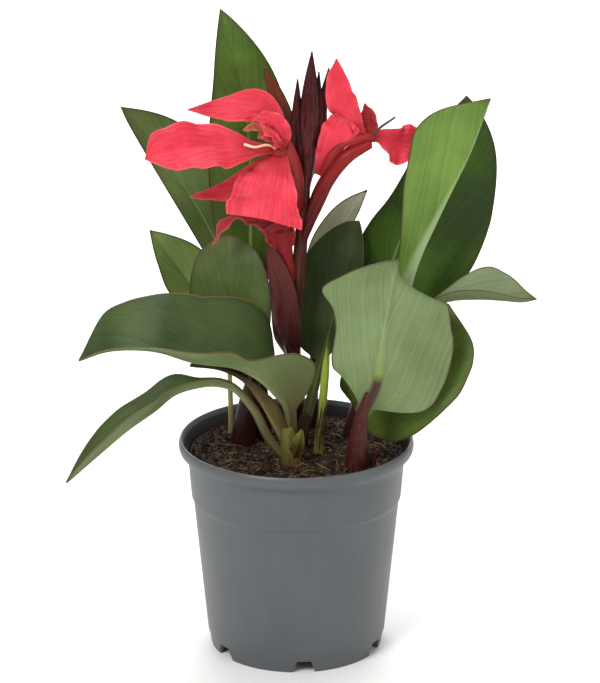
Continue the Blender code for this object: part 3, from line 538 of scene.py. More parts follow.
# %% Leaves on the right
RIGHT_LEAVES = {
    "leaf_centre_right": (blade_spec(
        [(5, 10, 158), (11, 18, 181), (20, 23, 216), (30, 27, 253), (39, 32, 285), (45, 40, 309)],
        [VIEWER, VIEWER, (-0.1, -1, 0.2), (0, -1, 0.5)], (35, 13), ((-4, -4), (-14, -20)),
        powers=((0.5, 0.6), (0.7, 0.8)), stalk=0.34, stalk_half=4, rib=(5, 1.2)), DEEP_GREEN, GREY_UNDER),
    "leaf_small_back": (blade_spec(
        [(14, 50, 232), (16, 52, 250), (22, 56, 282), (36, 60, 308), (51, 50, 329)],
        [BACK, BACK, (0, 1, 0.4)], (13, 13), (20, 20), stalk=0.08, stalk_half=2, rib=(3, 1.2)),
        PALE_LEAF_PAINTED_LIGHT, PALE_LEAF_PAINTED_LIGHT),
    "leaf_rolled": (blade_spec(
        [(56, 30, 196), (67, 22, 212), (76, 14, 245), (84, 8, 283), (102, 2, 327), (122, -2, 372),
         (135, -2, 410)],
        [BACK, BACK, BACK, (0.3, 1, 0.1)], (20, (3, 6, 8, 10, 15, 23, 31, 37, 41, 31, 0)), ((80, 90), (8, 2)),
        powers=((0.8, 0.8), (0.8, 0.22)), stalk=0.1, stalk_half=3, rib=(4, 1.2)), MID_GREEN, FRESH_UNDER),
    "leaf_big_right": (blade_spec(
        [(56, 36, 198), (61, 46, 230), (71, 52, 278), (93, 55, 329), (110, 52, 366), (121, 40, 401)],
        [VIEWER, VIEWER, VIEWER, (0, -1, 0.3)],
        ((3, 14, 22, 28, 26, 21, 19, 18, 14, 8, 0), 56), ((10, 6), (10, 4)),
        powers=((0.6, 1.0), (0.6, 0.75)), stalk=0.1, stalk_half=4, rib=(4.5, 1.2)), DARK_GREEN, GREY_UNDER),
    "leaf_far_right": (blade_spec(
        [(51, 32, 184), (67, 38, 204), (85, 37, 231), (106, 28, 252), (132, 22, 256), (148, 15, 257),
         (162, 8, 258), (171, 2, 262)],
        [(-0.3, 0.2, 1), UP, UP, UP],
        ((3, 4, 5, 8, 15, 21, 23, 20, 15, 9, 0), (3, 4, 5, 8, 12, 13, 13, 11, 8, 5, 0)),
        ((30, 75), (40, 45)), stalk=0.4, stalk_half=3, rib=(4, 1.2)), PALE_UPPER, GREY_UNDER),
    "leaf_front_right": (blade_spec(
        [(46, -31, 188), (56, -35, 208), (60, -38, 237), (63, -36, 259), (67, -28, 278), (72, -8, 295)],
        [BACK, BACK, (0, 1, -0.1), (0, 1, 0.8)],
        ((3, 38, 47, 50, 51, 50, 47, 44, 40, 28, 0), (3, 22, 31, 34, 34, 34, 38, 48, 34, 13, 0)),
        (10, 4), stalk=0.04, stalk_half=4, rib=(6, 1.2)), DEEP_GREEN, BLOOMED),
    "leaf_behind_right": (blade_spec(
        [(43, 22, 160), (49, 10, 168), (58, 2, 182), (70, -3, 203), (88, -2, 228), (109, 6, 257)],
        [(-0.2, -1, 0.4), (-0.2, -1, 0.4), (-0.2, -1, 0.5)],
        (34, (4, 26, 34, 39, 42, 44, 45, 43, 39, 28, 0)), (8, 8),
        powers=((0.3, 0.6), (0.45, 0.6)), stalk=0.1, stalk_half=3.5, rib=(4, 1.2)), MID_GREEN, GREY_UNDER),
}
for seed, (name, (spec, upper, under)) in enumerate(RIGHT_LEAVES.items()):
    add_body(name, "_leaf", blade_mesh(spec, 20 + seed), [upper, under], "leaf_green", 60)
print("right leaves:", len(RIGHT_LEAVES))

# %% [markdown]
# ## Stems, sheaths and buds: skin with lengthwise streaks
# A canna's stem is a roll of leaf sheaths. Its skin has fine ridges along its length, a thin edge where
# one sheath wraps over the next, and a colour that goes from purple-brown at the soil to green above.
# Buds have the same build, in dark maroon. The streaks come from noise that is stretched along the stem,
# read in millimetres from how far round and how far along each point lies, so they follow every bend:
# broad streaks are about 2 mm wide and fine ones 0.6 mm, each some sixteen times as long.

# %% Streaked skin
RIDGE_DEPTH = 0.00018


def streaked_skin(name, stops, streak, share, roughness, seam="#8d7a4c"):
    """Ridged stem or bud skin: a colour from base to tip, streaks along it and a sheath's edge."""
    skin, tree = new_material(name, roughness, IOR=1.43, Specular_IOR_Level=0.25)
    mark = {m: add_node(tree, "Attribute", out="Fac", attribute_name=m)
            for m in ("round_x", "round_y", "run", "along", "seam")}
    slow = add_node(tree, "Math", [mark["run"], 0.06], operation="MULTIPLY")
    spot = add_node(tree, "CombineXYZ", [mark["round_x"], mark["round_y"], slow])
    broad = add_node(tree, "TexNoise", {"Vector": spot, "Scale": 0.45, "Detail": 4.0})
    fine = add_node(tree, "TexNoise", {"Vector": spot, "Scale": 1.7, "Detail": 2.0})
    wander = add_node(tree, "Math", [broad, 0.5, mark["along"]], operation="MULTIPLY_ADD")
    ground = add_node(tree, "Math", [wander, 0.25], operation="SUBTRACT")
    colour = add_node(tree, "ValToRGB", [ground], stops)
    colour = tint(tree, colour, fine, (0.45, 0.68, 0.0, share), streak)
    colour = tint(tree, colour, mark["seam"], (0.25, 0.8, 0.75, 0.0), seam)
    height = add_node(tree, "Math", [fine, 1.0, broad], operation="MULTIPLY_ADD")
    gloss = add_node(tree, "MapRange", [broad, 0.3, 0.7, roughness - 0.08, roughness + 0.1])
    return finish_skin(skin, colour, height, 0.6, RIDGE_DEPTH, gloss)


# Sheathed stems: firm and smooth, so the ridges catch long thin lines of light.
PURPLE_STEM = streaked_skin("purple_sheath_skin", [(0.0, "#2a100e"), (0.6, "#3c1513"), (0.9, "#421a18")],
                            "#5e3022", 0.55, 0.36, "#5d4a2c")
DARK_STEM = streaked_skin("dark_purple_sheath_skin", [(0.0, "#200e0c"), (0.5, "#2e1410"), (0.9, "#3a2416")],
                          "#402418", 0.4, 0.42, "#4a3a20")
OLIVE_SHOOT = streaked_skin("olive_shoot_skin", [(0.0, "#33200f"), (0.5, "#47361a"), (0.85, "#606028")],
                            "#62602e", 0.4, 0.42, "#6c6a38")
BROWN_STEM = streaked_skin("brown_flower_stem",
                           [(0.0, "#2c1a10"), (0.5, "#3e2414"), (0.8, "#50241c"), (1.0, "#541c1c")],
                           "#5e4226", 0.4, 0.42, "#5c4628")
GREEN_SHOOT = streaked_skin("green_shoot_skin",
                            [(0.1, "#8c7c34"), (0.3, "#7a6a2c"), (0.4, "#2e1a14"), (0.53, "#3a2416"),
                             (0.59, "#a0ae3c"), (0.84, "#88a83c"), (0.93, "#3c4c20")],
                            "#9aac4c", 0.2, 0.4, "#7c7c3c")
BACK_SHOOT = streaked_skin("shaded_shoot_skin", [(0.0, "#241810"), (0.5, "#2c2414"), (0.9, "#3c4220")],
                           "#40381c", 0.3, 0.42, "#4a4424")
# A stalk that has died back is dry and yellow, with no shine.
YELLOW_STALK = streaked_skin("yellow_leaf_stalk", [(0.0, "#a8965e"), (0.6, "#c0b67c"), (0.9, "#a4b05c")],
                             "#cac48c", 0.3, 0.45)
# Buds and cups have a thicker wax over nearly black maroon, so their lights are narrow and clear.
MAROON_BUD = streaked_skin("maroon_bud_skin", [(0.0, "#54100e"), (0.4, "#360b0d"), (0.9, "#240709")],
                           "#6a2426", 0.6, 0.32, "#180607")
RED_CUP = streaked_skin("red_flower_cup", [(0.0, "#5a1010"), (0.5, "#7c1a1a"), (0.9, "#8a2624")],
                        "#963034", 0.4, 0.38, "#5a1214")
MAROON_CUP = streaked_skin("maroon_flower_cup", [(0.0, "#380f10"), (0.45, "#641312"), (0.9, "#8a1c1c")],
                           "#8a2426", 0.4, 0.38, "#3c0e0e")
# A style is a soft flat rod: cream in an open flower and brown once it withers.
CREAM_STYLE = streaked_skin("cream_style_skin", [(0.0, "#d88a68"), (0.5, "#e2bd92"), (0.9, "#ecd8ae")],
                            "#e0ac84", 0.3, 0.45)
BROWN_STYLE = streaked_skin("brown_style_skin", [(0.0, "#8a2c2c"), (0.4, "#4c3a34"), (0.9, "#5a5048")],
                            "#6a5c50", 0.3, 0.45)
print("streaked skins run from", PURPLE_STEM.name, "to", BROWN_STYLE.name)

# %% [markdown]
# ## Round bodies
# Stems, buds and flower tubes are swept round a smooth line. Small ridges run along them. Where a sheath
# wraps over the one inside, its edge stands out by about half a millimetre and falls away round the stem,
# as the edge of rolled paper does. The ends are closed with a rounded cap.

# %% Round body mesh
FAR_OFF = 9.0  # millimetres: further from an edge than any edge colour reaches


def tube_mesh(path, radii, seed, sides=36, stations=60, ridge=0.12, sheaths=()):
    """Points, faces, material numbers and marks of a stem; each sheath has a start, a twist and a step."""
    share = np.linspace(0.0, 1.0, stations)
    line = smooth_path(path, stations)
    run = run_along(line)
    tangent = unit(np.gradient(line, axis=0))
    radius = spread(radii, share)
    lean = unit(np.cross(tangent, np.array([0.13, 1.0, 0.21])))
    other = np.cross(tangent, lean)
    turn = np.linspace(0.0, 2 * math.pi, sides, endpoint=False)
    random = np.random.default_rng(seed)
    phase = random.uniform(0, 6.28, 4)
    bulge = ridge * (np.sin(5 * turn[None, :] + phase[0] + 2.0 * share[:, None])
                     + 0.7 * np.sin(9 * turn[None, :] + phase[1] - 3.0 * share[:, None]))
    seam = np.full((stations, sides), FAR_OFF)
    for start, twist, step in sheaths:
        past = (turn[None, :] - start - twist * share[:, None]) % (2 * math.pi)
        bulge = bulge + step * (0.5 - past / (2 * math.pi)) * np.clip(share[:, None] * 12, 0, 1)
        seam = np.minimum(seam, np.minimum(past, FAR_OFF) * radius[:, None])
    fit = np.clip(radius / max(float(np.max(radius)), 1e-6), 0.0, 1.0)
    reach = radius[:, None] + bulge * fit[:, None]
    across = np.cos(turn)[None, :, None] * lean[:, None, :] + np.sin(turn)[None, :, None] * other[:, None, :]
    grid = line[:, None, :] + across * reach[:, :, None]
    points = np.concatenate([grid.reshape(-1, 3), line[:1] - tangent[:1] * radius[0] * 0.3,
                             line[-1:] + tangent[-1:] * radius[-1] * 0.5])
    index = np.arange(stations * sides).reshape(stations, sides)
    after = np.roll(index, -1, axis=1)
    faces = np.stack([index[:-1], after[:-1], after[1:], index[1:]], axis=-1).reshape(-1, 4).tolist()
    first, last = stations * sides, stations * sides + 1
    faces += [[first, after[0, k], index[0, k]] for k in range(sides)]
    faces += [[last, index[-1, k], after[-1, k]] for k in range(sides)]
    wide = np.broadcast_to
    ring = {"round_x": radius[:, None] * np.cos(turn), "round_y": radius[:, None] * np.sin(turn),
            "run": wide(run[:, None], seam.shape), "along": wide(share[:, None], seam.shape), "seam": seam}
    ends = {"round_x": (0, 0), "round_y": (0, 0), "run": (0, run[-1]), "along": (0, 1),
            "seam": (FAR_OFF, FAR_OFF)}
    marks = {k: np.concatenate([v.ravel(), ends[k]]) for k, v in ring.items()}
    return points, faces, np.zeros(len(faces), int), marks


def joined(parts):
    """Several bodies as one mesh; each part is a body and the number of its first material."""
    points, faces, which, marks, count = [], [], [], {}, 0
    names = sorted({m for body, _ in parts for m in body[3]})
    for (body_points, body_faces, body_which, body_marks), first in parts:
        points.append(body_points)
        faces += [[int(i) + count for i in face] for face in body_faces]
        which.append(np.asarray(body_which) + first)
        for name in names:
            marks.setdefault(name, []).append(body_marks.get(name, np.zeros(len(body_points))))
        count += len(body_points)
    marks = {name: np.concatenate(values) for name, values in marks.items()}
    return np.concatenate(points), faces, np.concatenate(which), marks


print("a stem of 60 rings has", 60 * 36, "points")

# %% [markdown]
# ## Stems and shoots
# The flower stem stands at the back, and the shoots come up round it from the same rootstock. The fat
# ones are young leaf rolls, purple at the soil. The thin one in front is bright green at its tip, and the
# leaf stalk at the left has turned pale.

# %% Stems and shoots
ROUND = ((0.4, 2.4, 0.6),)
DOUBLE = ((0.4, 1.6, 0.7), (3.4, -1.2, 0.5))
STEMS = {
    "flower_stem": ([(0, 27, 120), (0, 26, 150), (-2, 21, 190), (-3, 14, 225), (0, 10, 260), (3, 9, 300),
                     (5, 8, 330), (6, 8, 346)], (7, 7, 6.5, 6, 5.5, 5, 4.5, 4), BROWN_STEM, DOUBLE),
    "shoot_left": ([(-40, 10, 120), (-39, 10, 150), (-35, 8, 180), (-31, 6, 200)], (9.5, 9, 7.5, 5),
                   DARK_STEM, DOUBLE),
    "shoot_left_back": ([(-23, 24, 120), (-24, 24, 150), (-27, 24, 200), (-28, 25, 240)], (6.5, 6, 5, 3.5),
                        DARK_STEM, ROUND),
    "shoot_front": ([(-4, -30, 120), (-4, -30, 150), (-7, -28, 176)], (8.5, 7.6, 5), OLIVE_SHOOT, DOUBLE),
    "shoot_centre": ([(3, 6, 120), (3, 7, 150), (7, 12, 170)], (6.5, 6, 4), DARK_STEM, ROUND),
    "thin_shoot": ([(16, -10, 120), (16, -10, 150), (19, -7, 188), (23, -3, 236)],
                   (4, 4, 3.4, 3, 2.6, 0.8), GREEN_SHOOT, ROUND),
    "shoot_right": ([(43, -36, 120), (43, -36, 150), (45, -34, 178), (50, -36, 204)], (9.8, 9.2, 7.5, 4.6, 1.6),
                    PURPLE_STEM, DOUBLE),
    "shoot_right_small": ([(55, -32, 120), (55, -32, 150), (56, -32, 158)], (2.2, 2.2, 1.4), PURPLE_STEM, ()),
    "shoot_right_back": ([(42, 26, 120), (42, 27, 150), (49, 31, 180), (57, 33, 205)], (8, 8, 6.5, 4.5),
                         PURPLE_STEM, DOUBLE),
    "pale_stalk": ([(-49, 32, 120), (-48, 31, 150), (-49, 31, 212)], (1.9, 1.8, 1.5), YELLOW_STALK, ()),
    "back_stalk": ([(12, 46, 120), (12, 46, 150), (13, 49, 200), (14, 50, 240)], (4, 3.8, 3.2, 2.4),
                   BACK_SHOOT, ()),
}
for seed, (name, (path, radii, skin, sheaths)) in enumerate(STEMS.items()):
    add_body(name, "_skin", tube_mesh(path, radii, 40 + seed, sheaths=sheaths), [skin], "stem_purple")
print("stems and shoots:", len(STEMS))

# %% [markdown]
# ## Bracts and sheaths
# Small leaves without a blade wrap the flower stem and the base of a shoot. Their veins run straight
# along them, as in the stem, and their colour is the stem's purple. They're blades too, but the
# streaked skin reads how far across and along a point lies.

# %% Bract pieces
def streak_marks(marks, length):
    """Marks for the streaked skin, made from a blade's own marks."""
    return {**marks, "round_x": marks["across"] * 7.0, "round_y": np.zeros(len(marks["across"])),
            "run": marks["along"] * length, "seam": marks["edge"]}


PURPLE_BRACT = streaked_skin("purple_bract_skin", [(0.0, "#30180e"), (0.45, "#4a1c18"), (0.9, "#561f1e")],
                             "#6a3430", 0.5, 0.36, "#54201e")
FADED_BRACT = streaked_skin("faded_bract_skin", [(0.0, "#401212"), (0.5, "#5a1c14"), (0.9, "#742616")],
                            "#565220", 0.75, 0.42, "#3c1010")
BRACTS = {
    "sheath_bract": (blade_spec(
        [(-4, 12, 214), (-8, 2, 232), (-9, -3, 250), (-11, -4, 270), (-19, -4, 303)],
        BACK, (11, 11), ((5, 5), (30, 20)), curl=((0, 0), (30, 30)),
        powers=(0.4, 0.6), stalk_half=3, rib=(2.5, 1.2)), 95, PURPLE_BRACT, "bud_maroon"),
    "bract_behind": (blade_spec(
        [(5, 10, 330), (-4, 19, 350), (-7, 20, 379), (-13, 18, 404), (-22, 14, 428)],
        VIEWER, (9, 9), (20, 20),
        powers=(0.5, 0.8), stalk_half=2, rib=(2, 1)), 105, FADED_BRACT, "bud_maroon"),
    "sheath_front": (blade_spec(
        [(-2, -35, 154), (1, -39, 166), (4, -39, 178)],
        BACK, (5, 5), (20, 20), powers=(0.4, 0.8), rib=(1.6, 1)),
        25, OLIVE_SHOOT, "leaf_green"),
}
for seed, (name, (spec, length, skin, slot)) in enumerate(BRACTS.items()):
    points, faces, which, marks = blade_mesh(spec, 60 + seed, 50, 21, ripple=0.25, pleat=0.0)
    body = (points, faces, which * 0, streak_marks(marks, length))
    add_body(name, "_leaf", body, [skin], slot, 60)
print("bracts and sheaths:", len(BRACTS))

# %% [markdown]
# ## Buds and flower cups
# The spike's tip is a tight bunch of pointed buds. Under each open flower sits a swollen cup. Buds and
# cups are the darkest maroon of the plant, with a waxy shine.

# %% Buds and cups
BUDS = [
    ([(6, 8, 343), (8, 8, 367), (9, 8, 393)], (4, 6, 5.5, 2)),
    ([(7, 7, 361), (9, 7, 398), (11, 8, 441)], (4, 6, 6.4, 4.4, 0.5)),
    ([(5, 8, 357), (1, 9, 389), (1, 9, 421)], (4, 5.5, 4.6, 2.8, 0.5)),
    ([(9, 10, 356), (14, 11, 390), (16, 11, 426)], (4, 5.5, 5, 3, 0.5)),
    ([(9, 12, 352), (16, 14, 388), (23, 14, 428)], (4, 5.5, 5, 3, 0.5)),
    ([(8, 12, 350), (15, 13, 375), (21, 14, 400)], (4, 5.5, 4.8, 0.6)),
]
buds = [(tube_mesh(path, radii, 70 + i, 24, 40, 0.16, ((0.9 * i, 1.2, 0.5),)), 0)
        for i, (path, radii) in enumerate(BUDS)]
add_body("bud_cluster", "_buds", joined(buds), [MAROON_BUD], "bud_maroon")

CUP_FOLDS = ((1.0, 1.5, 0.8), (4.0, 0.6, 0.6))
CALYXES = {
    "bloom_left_calyx": ([(4, 7, 327), (-1, -1, 342), (-4, -4, 361), (-5, -6, 380)],
                         (3, 5.5, 8, 7, 2), RED_CUP),
    "bloom_right_calyx": ([(4, 8, 302), (12, 4, 327), (22, 2, 350), (36, 1, 367), (52, 2, 376)],
                          (3, 4.5, 5.6, 5.2, 4.6, 3), MAROON_CUP),
}
for seed, (name, (path, radii, skin)) in enumerate(CALYXES.items()):
    add_body(name, "_cup", tube_mesh(path, radii, 80 + seed, 32, 60, 0.2, CUP_FOLDS), [skin], "bud_maroon")
print("buds:", len(BUDS), "cups:", len(CALYXES))

# %% [markdown]
# ## Petals
# A canna's showy parts are soft and thin, and coral red. They have a silky surface with fine veins that
# run along them, they ripple at the margin, and their colour pales a little where the light comes
# through. The ripples are real waves in the sheet, so the margin is never a clean curve.

# %% Petal skin
def petal_skin(name, light, deep, vein, throat, throat_end=0.35):
    """Silky petal: cloudy red, fine lengthwise veins, a pale margin and a warmer throat."""
    skin, tree = new_material(name, 0.48, IOR=1.4, Specular_IOR_Level=0.35, Sheen_Weight=0.12,
                              Sheen_Roughness=0.4, Subsurface_Weight=0.12,
                              Subsurface_Radius=(0.004, 0.0012, 0.001), Subsurface_Scale=0.4)
    mark = {m: add_node(tree, "Attribute", out="Fac", attribute_name=m) for m in ("across", "along", "edge")}
    spot = add_node(tree, "TexCoord", out="Object")
    cloud = add_node(tree, "TexNoise", {"Vector": spot, "Scale": 55.0, "Detail": 4.0})
    colour = add_node(tree, "ValToRGB", [cloud], [(0.3, deep), (0.7, light)])
    on_blade = add_node(tree, "CombineXYZ", [mark["across"], mark["along"]])
    stretch = add_node(tree, "VectorMath", [on_blade, (14.0, 1.6, 1.0)], operation="MULTIPLY")
    lines = add_node(tree, "TexNoise", {"Vector": stretch, "Scale": 1.0, "Detail": 3.0})
    colour = tint(tree, colour, lines, (0.48, 0.7, 0.0, 0.65), vein)
    colour = tint(tree, colour, mark["edge"], (0.0, 2.2, 0.25, 0.0), "#ee7a7c")
    colour = tint(tree, colour, mark["along"], (throat_end * 0.3, throat_end, 0.8, 0.0), throat)
    crepe = add_node(tree, "TexNoise", {"Vector": spot, "Scale": 700.0, "Detail": 2.0})
    height = add_node(tree, "Math", [crepe, 0.4, lines], operation="MULTIPLY_ADD")
    return finish_skin(skin, colour, height, 0.8, 0.0006)


# A petal's skin is velvety, and light passes through it, so its shadows stay red and its shine is soft.
CORAL = petal_skin("silky_coral_petal", "#ec4456", "#cb293b", "#a81e2e", "#a02020", 0.42)
SCARLET = petal_skin("silky_scarlet_petal", "#a2222a", "#7c161a", "#641012", "#8a1c18")
TAWNY = petal_skin("tawny_petal_tip", "#a4502a", "#7e3018", "#d8a468", "#cc3440", 0.75)
print("petal skins: 3")

# %% [markdown]
# ## Flowers
# Each flower has a short tube, out of which the petals fan. They're thinner than leaves, and they ripple
# more. The tube and its petals are one mesh, as they're one grown piece.

# %% Flowers
PETALS = {
    "bloom_left_petals": (
        ([(-8, -6, 371), (-17, -10, 376)], (4, 5.5, 5, 2.5)),
        [
            (blade_spec([(-11, -7, 375), (-34, -16, 378), (-59, -28, 383), (-84, -36, 382), (-104, -42, 377)],
                        (0.1, -0.8, 0.7),
                        ((3, 4, 7, 12, 16, 18, 19, 18, 15, 11, 0), (3, 3, 5, 9, 13, 16, 17, 18, 17, 15, 0)),
                        (8, 8), stalk_half=2.5), 0),
            (blade_spec([(-11, -5, 375), (-14, -3, 393), (-25, -2, 404), (-46, -1, 404), (-76, 1, 401)],
                        (0.1, -0.9, 0.4), ((3, 6, 10, 12, 12, 9, 5, 0), (3, 4, 8, 11, 9, 6, 3, 0)),
                        (8, 8), stalk_half=2.5), 0),
            (blade_spec([(-11, -8, 374), (-15, -22, 359), (-20, -34, 345), (-23, -43, 334.5)],
                        (0, -1, 0.5), ((3, 7, 11, 15, 19, 22, 25, 28), (3, 12, 19, 23, 25, 26, 27, 26)),
                        (-8, -8), stalk_half=3), 0),
            (blade_spec([(-11, -5, 372), (-31, 2, 352), (-53, 1, 341), (-75, -3, 339)],
                        (0, -1, 0.5), (8, 8), (8, 8), stalk_half=2), 0),
            (blade_spec([(-11, -9, 375), (-12, -13, 389), (-19, -16, 399), (-30, -16, 399)],
                        (0.3, 0.8, -0.4), (8, 8), (20, 20), stalk_half=2), 0),
            (blade_spec([(-13, -11, 378), (-20, -15, 387), (-29, -17, 393), (-37, -17, 391)],
                        (0.1, -0.8, 0.6), (4.5, 4.5), (15, 15), stalk_half=1.5), 2),
            (blade_spec([(-9, -10, 376), (-14, -17, 384), (-20, -20, 391), (-25, -20, 396)],
                        (0.2, -0.9, 0.3), (3.2, 3.2), (30, 30), stalk_half=1.5), 0),
        ]),
    "bloom_right_petals": (
        ([(18, 6, 352), (32, 6, 373), (50, 6, 380), (55, 6, 381)], (3, 5, 4.5, 4.5, 3)),
        [
            (blade_spec([(46, 5, 379), (40, 3, 395), (31, 2, 412), (28, 4, 437)], VIEWER,
                        ((3, 4, 8, 12, 9, 6, 0), (3, 4, 6, 9, 8, 5, 0)), (8, 8), stalk_half=3), 0),
            (blade_spec([(15, 5, 353), (27, 4, 377), (38, 3, 393)], VIEWER, (14, 10), (8, 8),
                        powers=(0.8, 0.15), stalk_half=2), 0),
            (blade_spec([(48, 6, 379), (51, 7, 390), (48, 8, 404)],
                        VIEWER, (6, 6), (10, 10), stalk_half=2), 1),
            (blade_spec([(50, 6, 380), (62, 10, 379), (74, 16, 374), (86, 20, 371)], (0, -1, 0.5),
                        ((3, 4, 6, 9, 13, 10), (3, 4, 14, 17, 14, 6)), (8, 8), stalk_half=2.5), 0),
        ]),
    "bloom_low_petals": (
        ([(-1, 9, 272), (-5, 7, 284), (-9, 5, 299), (-11, 3, 314)], (3, 4.5, 6.5, 8)),
        [
            (blade_spec([(-8, 5, 304), (-19, 1, 318), (-33, -5, 323), (-45, -10, 324), (-55, -14, 315),
                         (-59, -15, 305)],
                        [(0, -0.7, 0.7), (-0.6, -0.5, 0.6), (-1, -0.2, 0)], (6, 6), (10, 10),
                        powers=(0.5, 0.7), stalk_half=3), 1),
            (blade_spec([(-7, 3, 298), (-11, -1, 310), (-15, -6, 321)],
                        (0, -1, 0.2), (11, 11), (10, 10),
                        powers=(0.6, 0.3), stalk_half=3), 1),
        ]),
}
PETAL_SHAPE = {"stations": 60, "columns": 29, "edge": 0.45, "pleat": 0.34, "ripple": 2.4, "vein_step": 5.0}
for seed, (name, (hub, blades)) in enumerate(PETALS.items()):
    body = tube_mesh(*hub, 90 + seed, 24, 24, 0.1)
    body[3].update(across=np.zeros(len(body[0])), edge=np.full(len(body[0]), FAR_OFF))
    parts = [(body, 1)]
    for i, (spec, skin) in enumerate(blades):
        petal = blade_mesh(spec, 100 + 10 * seed + i, **PETAL_SHAPE)
        parts.append(((petal[0], petal[1], petal[2] * 0, petal[3]), skin))
    add_body(name, "_flower", joined(parts), [CORAL, SCARLET, TAWNY], "petal_red", 70)

STYLES = {
    "bloom_left_style": ([(-12, -8, 374), (-21, -19, 381), (-29, -21, 380), (-36, -21, 382)],
                         (0.9, 0.9, 0.8, 1.0), CREAM_STYLE),
    "bloom_right_style": ([(53, 6, 380), (58, -1, 388), (69, -4, 397)], (1, 1, 0.8), BROWN_STYLE),
}
for seed, (name, (path, radii, skin)) in enumerate(STYLES.items()):
    add_body(name, "_rod", tube_mesh(path, radii, 130 + seed, 16, 40, 0.04), [skin], "style_cream")
print("flowers:", len(PETALS))

# %% [markdown]
# ## The pot
# A nursery pot is moulded from grey polypropylene, thin and slightly flexible. Its surface comes from a
# polished mould, so it's satin, with faint flow marks that run up the wall and light scuffs where pots
# have been stacked. It is turned from one profile: a foot with notches, a tapered wall, a step and a
# rolled rim.

# %% Pot plastic
def pot_skin(name, low, high, worn):
    """Moulded polypropylene: faint flow marks up the wall, cloudy tone and light scuffs."""
    skin, tree = new_material(name, 0.42, IOR=1.49, Specular_IOR_Level=0.4)
    spot = add_node(tree, "TexCoord", out="Object")
    stretch = add_node(tree, "VectorMath", [spot, (220.0, 220.0, 14.0)], operation="MULTIPLY")
    flow = add_node(tree, "TexNoise", {"Vector": stretch, "Scale": 1.0, "Detail": 4.0})
    cloud = add_node(tree, "TexNoise", {"Vector": spot, "Scale": 22.0, "Detail": 5.0})
    tone = add_node(tree, "Math", [flow, 0.35, cloud], operation="MULTIPLY_ADD")
    colour = add_node(tree, "ValToRGB", [tone], [(0.45, low), (0.9, high)])
    scuff = add_node(tree, "TexNoise", {"Vector": spot, "Scale": 160.0, "Detail": 6.0, "Distortion": 1.2})
    colour = tint(tree, colour, scuff, (0.62, 0.74, 0.0, 0.12), worn)
    grain = add_node(tree, "TexNoise", {"Vector": spot, "Scale": 900.0, "Detail": 2.0})
    height = add_node(tree, "Math", [grain, 0.3, flow], operation="MULTIPLY_ADD")
    gloss = add_node(tree, "MapRange", [tone, 0.4, 0.9, 0.34, 0.5])
    return finish_skin(skin, colour, height, 0.2, 0.0001, gloss)


# Mid grey pigment all through the plastic gives an even, satin wall. Inside, a darker copy of the plastic is
# painted shade, where the soil and leaves shade the inner wall.
plastic = pot_skin("moulded_grey_polypropylene", "#4e5154", "#56595c", "#66696c")
shaded_inner_plastic = pot_skin("grey_polypropylene_painted_shade", "#2a2928", "#2e2d2c", "#3a3836")
print("pot skins:", plastic.name, "and", shaded_inner_plastic.name)

# %% [markdown]
# ## Pot shape
# The profile goes from the middle of the foot out and up the wall, over the rim and down the inside.
# Round corners take several points, so that they catch a fine line of light as moulded plastic does.

# %% Pot shape
ROLL_MIDDLE, ROLL_SIZE = (83.2, 153.5), (1.8, 4.5)
UNDERSIDE, FLOOR = 9.0, 11.0
POT_SIDES = 160
RIM_TURNS = 9
STEP_HEIGHT = 113.0
FOOT_RADIUS = 62.5


def outer_radius(height):
    """The outer wall's radius below the rim: a taper, with a step where the wall thickens."""
    if height <= STEP_HEIGHT:
        return 64.8 + 0.096 * (height - 10.0)
    return 78.5 - 0.079 * (146.0 - height)


wall = [(outer_radius(z), z) for z in np.linspace(FLOOR, STEP_HEIGHT - 1.0, 14)]
step = [(74.8, 113.2), (75.6, 114.2), (76.0, 115.0), (76.1, 116.2)]
upper_wall = [(outer_radius(z), z) for z in np.linspace(118.0, 145.0, 7)]
roll = [(ROLL_MIDDLE[0] + ROLL_SIZE[0] * math.cos(a), ROLL_MIDDLE[1] + ROLL_SIZE[1] * math.sin(a))
        for a in np.radians(np.linspace(-60, 118, RIM_TURNS))]
inner = [(81.2, 154.6), (78.3, 149.0), (75.9, 128.0), (74.5, 116.0), (73.1, 112.0), (62.7, FLOOR + 0.2)]
foot = [(0.0, 0.0), (29.6, 0.0), (30.0, 0.3), (31.5, UNDERSIDE), (60.5, UNDERSIDE), (60.5, 0.3), (60.8, 0.0),
        (62.2, 0.0), (FOOT_RADIUS, 0.3), (63.9, 8.5), (64.4, 10.0)]
under_rim = [(79.4, 147.4), (80.6, 148.6)]
floor_inside = [(29.0, FLOOR), (27.5, 2.0), (0.0, 2.0)]
profile = foot + wall + step + upper_wall + under_rim + roll + inner + floor_inside


def round_places(radius, sides):
    """Evenly spaced places round a circle, starting at +X."""
    turns = [2 * math.pi * k / sides for k in range(sides)]
    return [(radius * math.cos(a), radius * math.sin(a)) for a in turns]


def lathe(profile, sides):
    """Points and faces of a closed body turned round the upright axis."""
    points, faces, rings = [], [], []
    for radius, height in profile:
        if radius < 1e-6:
            rings.append([len(points)] * sides)
            points.append((0.0, 0.0, height))
            continue
        rings.append(list(range(len(points), len(points) + sides)))
        points += [(x, y, height) for x, y in round_places(radius, sides)]
    for low, high in zip(rings[:-1], rings[1:]):
        for k in range(sides):
            n = (k + 1) % sides
            corners = list(dict.fromkeys([low[k], low[n], high[n], high[k]]))
            faces.append(corners)
    return points, faces


points, faces = lathe(profile, POT_SIDES)
pot = add_piece("nursery_pot_body", points, faces, [plastic, shaded_inner_plastic], sharp=32)
print("pot profile points:", len(profile))

# %% [markdown]
# ## Notches and drainage holes
# Six slanted notches in the foot let air in under the pot, and a round hole drains each bay between
# them. They are cut with a Boolean, as a real mould core would leave them.

